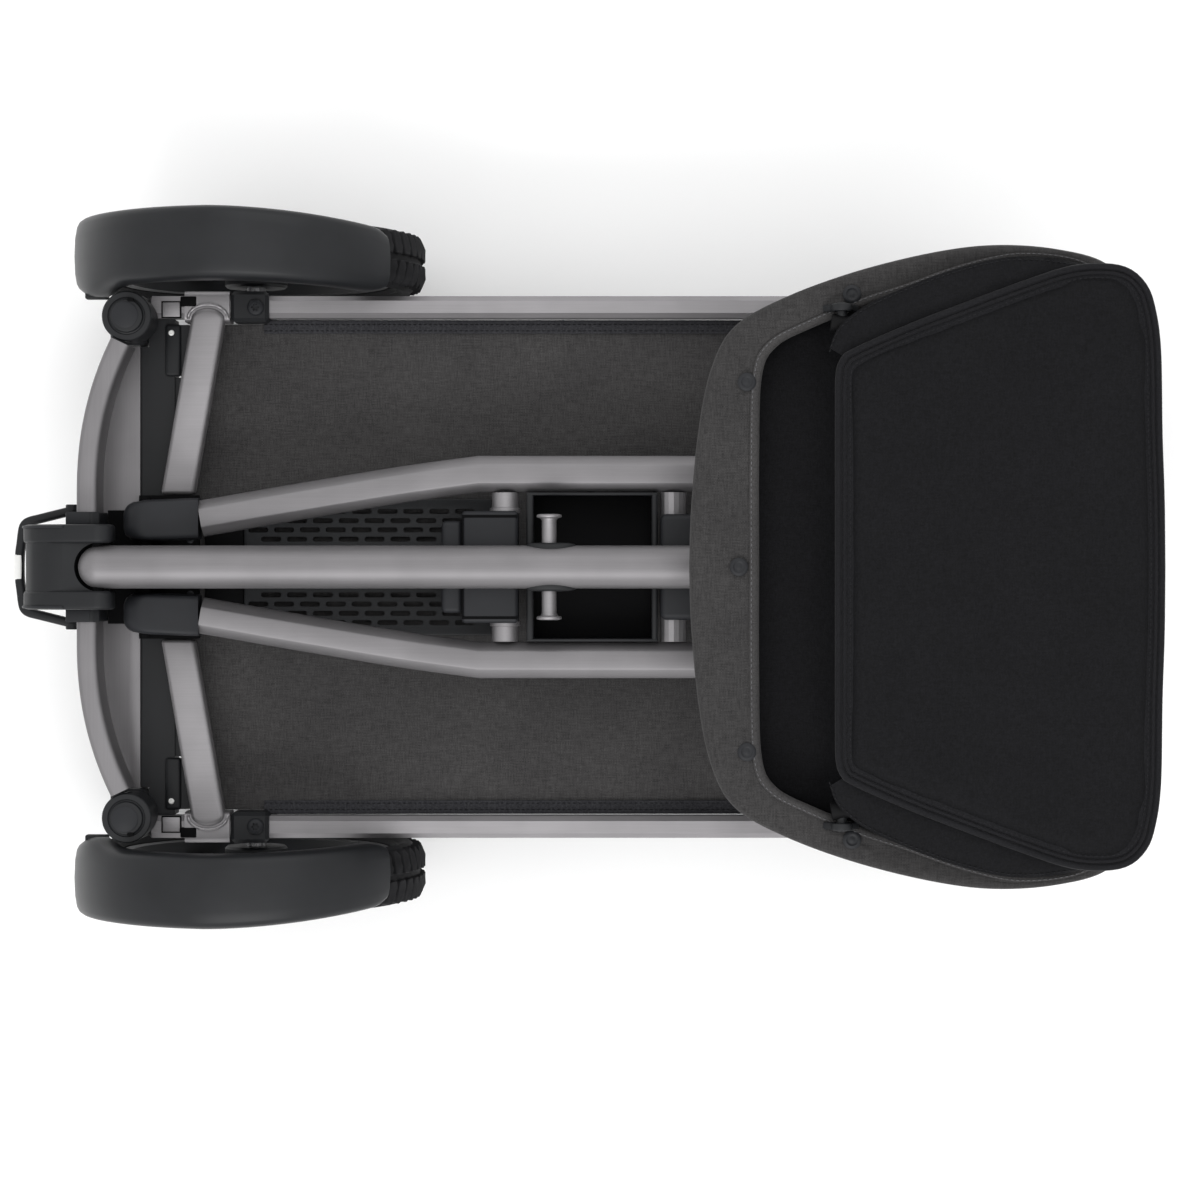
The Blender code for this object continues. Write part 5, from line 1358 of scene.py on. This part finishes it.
def hood():
    """The folded hood: pleats stacked between the hood bow and the panel."""
    bm = bmesh.new()
    rings = []
    rows = 56
    base, top = 0.35, 0.364
    for face, backwards in ((0.0, False), (0.0012, True)):
        for k in range(rows + 1):
            s = (rows - k if backwards else k) / rows
            ring = []
            for p in resample(smooth_path(bow_path(0.0215 + face, 0), 3), 120):
                fold = 0.0034 * math.sin(math.pi * 14 * s)
                centre = Vector((0.3, 0, 0))
                inward = (p - centre).normalized() * fold
                ring.append(bm.verts.new((max(p.x + inward.x, 0.2155), p.y + inward.y, lerp(base, top, s))))
            rings.append(ring)
    count = len(rings[0])
    pairs = list(zip(rings, rings[1:])) + [(rings[-1], rings[0])]
    for a, b in pairs:
        for i in range(count - 1):
            bm.faces.new((a[i], a[i + 1], b[i + 1], b[i]))
    bm.faces.new([ring[0] for ring in rings])
    bm.faces.new([ring[-1] for ring in reversed(rings)])
    cloth = finished("hood_cloth", bm, "lining", None, ["hood_fabric"], sharp=80)
    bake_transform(cloth)
    length = sum((b - a).length for a, b in pairwise(resample(bow_path(0.0215, 0), 120)))


def casters():
    """The front forks and their small wheels."""
    for tag, sign in SIDES:
        low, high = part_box("front_wheel_" + tag)
        centre = (low + high) / 2
        radius, half = (high.z - low.z) / 2, (high.y - low.y) / 2
        tyre = bmesh.new()
        seat = radius - 0.0175
        side = [(seat, half - 0.004), (seat + 0.003, half - 0.0012), (seat + 0.006, half)]
        side += [(radius - 0.006, half - 0.0008)]
        side += [(radius - 0.0022, half - 0.004), (radius - 0.0008, half - 0.008)]
        side += [(radius - 0.0008, 0.0022), (radius - 0.0026, 0.0016)]
        lathe(tyre, side + [(r, -h) for r, h in reversed(side)], centre, (0, 1, 0), 72, True)
        rib = bmesh.new()
        for hand in (1, -1):
            rings = []
            for rise in (-0.002, 0.0):
                ring = []
                for across, along in ((0.003, 0.0), (0.0118, 0.0018), (0.0118, 0.0046), (0.003, 0.003)):
                    t = (along + (0.003 if hand < 0 else 0)) / radius
                    r = radius + rise - (0.0022 if across > 0.01 else 0.0)
                    ring.append(rib.verts.new((r * math.sin(t), hand * across, r * math.cos(t))))
                rings.append(ring)
            loft(rib, rings)
        helper = raw("front_lug", rib)
        values = {"Lug": helper, "Count": 52, "Centre": centre, "Material": M["tyre"]}
        mesh = grown(raw("front_carcass", tyre), TREES["wheel"], values, (helper,))
        finished("front_tyre_" + tag, mesh, "tyre", "front_wheel_" + tag, ["front_wheel_" + tag])
        rim_bm = bmesh.new()
        ring = [(seat - 0.0002, 0.011), (seat - 0.004, 0.0118), (seat - 0.006, 0.008), (seat - 0.007, 0.0)]
        ring += [(r, -h) for r, h in reversed(ring[:-1])]
        lathe(rim_bm, ring, centre, (0, 1, 0), 64, True)
        hub = [(0.0043, 0.015), (0.01, 0.015), (0.0118, 0.0135), (0.0118, -0.0135)]
        hub += [(0.01, -0.015), (0.0043, -0.015)]
        lathe(rim_bm, hub, centre, (0, 1, 0), 40, True)
        for i in range(5):
            turn = Matrix.Rotation(2 * math.pi * i / 5, 3, "Y")
            spoke = bmesh.new()
            rings = []
            for k in range(5):
                reach = lerp(0.0105, seat - 0.005, k / 4)
                wide = lerp(0.0135, 0.01, k / 4)
                shape = oval(wide, 0.012, 0.003, 3)
                rings.append([spoke.verts.new(centre + turn @ Vector((a, b, reach))) for a, b in shape])
            loft(spoke, rings)
            join(rim_bm, spoke)
        finished("front_rim_" + tag, rim_bm, "plastic", "front_wheel_" + tag)
        fork_piece(tag, sign)


def fork_piece(tag, sign):
    """Two slanted legs under a domed crown, with the stem and axle."""
    x, y = 0.351, sign * 0.202
    top, axle_z, axle_x = 0.16, 0.075, 0.316
    bm = bmesh.new()
    for side in (1, -1):
        route = [(x - 0.001, y + side * 0.0195, top - 0.006), (x - 0.006, y + side * 0.0202, top - 0.022)]
        route += [(x - 0.02, y + side * 0.0202, 0.112), (axle_x, y + side * 0.0202, axle_z)]
        rings = []
        for k, p in enumerate(smooth_path(route, 6)):
            s = k / 18
            wide = lerp(0.03, 0.021, min(1.0, s * 1.3))
            shape = oval(0.005, wide, 0.0018, 3)
            rings.append([bm.verts.new((p.x + b, p.y + a, p.z - 0.12 * b)) for a, b in shape])
        loft(bm, rings)
        boss = [(0, 0.0), (0.0105, 0.0), (0.0115, 0.001), (0.0115, 0.0034), (0.0095, 0.0046), (0.0, 0.0046)]
        lathe(bm, boss, (axle_x, y + side * 0.018, axle_z), (0, side, 0), 40)
    crown = [(0.0, 0.0), (0.0178, 0.0), (0.0215, -0.0012), (0.0225, -0.0045)]
    crown += [(0.0225, -0.0125), (0.0205, -0.014)]
    crown += [(0.0, -0.014)]
    lathe(bm, crown, (x, y, top), (0, 0, 1), 56)
    rod(bm, (x, y, top - 0.003), (x, y, 0.1788), 0.0079)
    rod(bm, (axle_x, y - 0.02, axle_z), (axle_x, y + 0.02, axle_z), 0.0039)
    finished("fork_" + tag, bm, "plastic", "caster_" + tag, ["caster_fork_" + tag])


def light(name, location, target, size, power):
    data = bpy.data.lights.new(name, "AREA")
    data.shape = "RECTANGLE"
    data.size, data.size_y = size
    data.energy = power
    obj = bpy.data.objects.new(name, data)
    bpy.context.scene.collection.objects.link(obj)
    obj.location = location
    obj.rotation_euler = (Vector(target) - Vector(location)).to_track_quat("-Z", "Y").to_euler()


def stage(look):
    """Pale floor, soft studio light and the camera straight above."""
    bm = bmesh.new()
    rings = []
    reach = 6.0
    for x in (-reach, reach):
        rings.append([bm.verts.new((x, y, -0.0006)) for y in (-reach, reach)])
    bm.faces.new((rings[0][0], rings[1][0], rings[1][1], rings[0][1]))
    mesh = bpy.data.meshes.new("studio_floor")
    bm.to_mesh(mesh)
    bm.free()
    floor = bpy.data.objects.new("studio_floor", mesh)
    bpy.context.scene.collection.objects.link(floor)
    mesh.materials.append(pale_floor("painted_studio_floor"))
    world = bpy.data.worlds.new("studio")
    bpy.context.scene.world = world
    world.use_nodes = True
    world.node_tree.nodes["Background"].inputs["Color"].default_value = (1, 1, 1, 1)
    world.node_tree.nodes["Background"].inputs["Strength"].default_value = look.world_strength
    light("key_light", (-0.3, -2.2, 2.6), (0, 0, 0.1), (2.4, 1.2), look.key_power)
    light("fill_light", (0.3, 2.4, 2.4), (0, 0, 0.1), (2.4, 1.6), look.fill_power)
    light("top_light", (0.0, 0.0, 3.6), (0, 0, 0), (2.6, 2.6), look.top_power)
    data = bpy.data.cameras.new("camera")
    data.lens = 93.98
    data.sensor_width = 36.0
    data.shift_y = -0.0275
    data.clip_end = 50.0
    camera = bpy.data.objects.new("camera", data)
    bpy.context.scene.collection.objects.link(camera)
    camera.location = (0.021, 0.0, 2.739)
    bpy.context.scene.camera = camera
    bpy.context.scene.view_settings.view_transform = "Standard"


# ---- add-on -----------------------------------------------------------------------
class StrollerSizes(bpy.types.PropertyGroup):
    lug_height: bpy.props.FloatProperty(
        name="Lug height", description="How far a tread lug stands out", default=0.0042, unit="LENGTH"
    )
    lug_count: bpy.props.IntProperty(
        name="Lugs", description="Tread lugs in a row round a rear tyre", default=64
    )


class StrollerColours(bpy.types.PropertyGroup):
    aluminium: bpy.props.FloatVectorProperty(
        name="Aluminium", description="Anodised frame", subtype="COLOR", default=linear("#8C8A8C")[:3]
    )
    plastic: bpy.props.FloatVectorProperty(
        name="Plastic", description="Moulded black parts", subtype="COLOR", default=linear("#1B1C1E")[:3]
    )
    fabric: bpy.props.FloatVectorProperty(
        name="Fabric", description="Melange canvas", subtype="COLOR", default=linear("#393838")[:3]
    )
    lining: bpy.props.FloatVectorProperty(
        name="Lining", description="Black nylon", subtype="COLOR", default=linear("#0D0D0F")[:3]
    )


class StrollerLook(bpy.types.PropertyGroup):
    key_power: bpy.props.FloatProperty(name="Key light", description="Power", default=44.0, unit="POWER")
    fill_power: bpy.props.FloatProperty(name="Fill light", description="Power", default=16.0, unit="POWER")
    top_power: bpy.props.FloatProperty(name="Top light", description="Power", default=14.0, unit="POWER")
    world_strength: bpy.props.FloatProperty(
        name="World", description="Strength of the surroundings", default=1.06
    )


def operator(label, key, doc, work):
    """An operator class for one group of pieces."""

    def execute(self, context):
        work(context.scene)
        return {"FINISHED"}

    names = {"__doc__": doc, "bl_idname": "stroller." + key, "bl_label": label, "execute": execute}
    return type("STROLLER_OT_" + key, (bpy.types.Operator,), names)


def prepare(scene):
    make_materials(scene.stroller_colours)
    TREES["wheel"] = wheel_tree()
    TREES["stitches"] = stitch_tree()
    TREES["fasteners"] = fastener_tree()
    TREES["slots"] = slot_tree()


STEPS = [
    ("Materials", "materials", "Makes the finishes and the node trees", prepare),
    ("Stage", "stage", "Floor, lights and camera", lambda scene: stage(scene.stroller_look)),
    ("Rear tyres", "rear_tyres", "Lugged rear tyres", lambda scene: rear_tyres(scene.stroller_sizes)),
    ("Rear rims", "rear_rims", "Five-spoke rims and hub caps", lambda scene: rear_rims()),
    ("Mudguards", "mudguards", "Crowned mudguards", lambda scene: mudguards()),
    ("Corners", "corners", "Corner housings and posts", lambda scene: corners()),
    ("Rear frame", "rear_frame", "Struts, bar, plate and block", lambda scene: rear_frame()),
    ("Pedal", "pedal", "Brake pedal", lambda scene: pedal()),
    ("Arms", "arms", "Lifting arms and boxes", lambda scene: arms()),
    ("Lifting tube", "lift_tube", "Tube, collar and pin", lambda scene: lift_tube()),
    ("Deck", "deck", "Slotted plate and cloth deck", lambda scene: deck()),
    ("Cabin", "cabin", "Floor, pad and pleated wall", lambda scene: cabin()),
    ("Rim", "rim", "Padded rim, binding and studs", lambda scene: rim()),
    ("Handle", "handle", "Handle, grip and hood bow", lambda scene: handle()),
    ("Panel", "panel", "Padded panel and hood", lambda scene: panel()),
    ("Casters", "casters", "Forks and front wheels", lambda scene: casters()),
]
OPERATORS = [operator(*step) for step in STEPS]


class STROLLER_PT_panel(bpy.types.Panel):
    """Lists the groups of the stroller."""

    bl_label = "Folded pet stroller"
    bl_idname = "STROLLER_PT_panel"
    bl_space_type = "VIEW_3D"
    bl_region_type = "UI"
    bl_category = "Stroller"

    def draw(self, context):
        for _, key, _, _ in STEPS:
            self.layout.operator("stroller." + key)
        scene = context.scene
        for group in (scene.stroller_sizes, scene.stroller_colours, scene.stroller_look):
            for key in group.__annotations__:
                self.layout.prop(group, key)


CLASSES = (StrollerSizes, StrollerColours, StrollerLook, *OPERATORS, STROLLER_PT_panel)


def register():
    for kind in CLASSES:
        bpy.utils.register_class(kind)
    bpy.types.Scene.stroller_sizes = bpy.props.PointerProperty(type=StrollerSizes)
    bpy.types.Scene.stroller_colours = bpy.props.PointerProperty(type=StrollerColours)
    bpy.types.Scene.stroller_look = bpy.props.PointerProperty(type=StrollerLook)


def unregister():
    del bpy.types.Scene.stroller_look
    del bpy.types.Scene.stroller_colours
    del bpy.types.Scene.stroller_sizes
    for kind in reversed(CLASSES):
        bpy.utils.unregister_class(kind)


def main():
    register()
    for _, key, _, _ in STEPS:
        getattr(bpy.ops.stroller, key)()


if __name__ == "__main__":
    main()
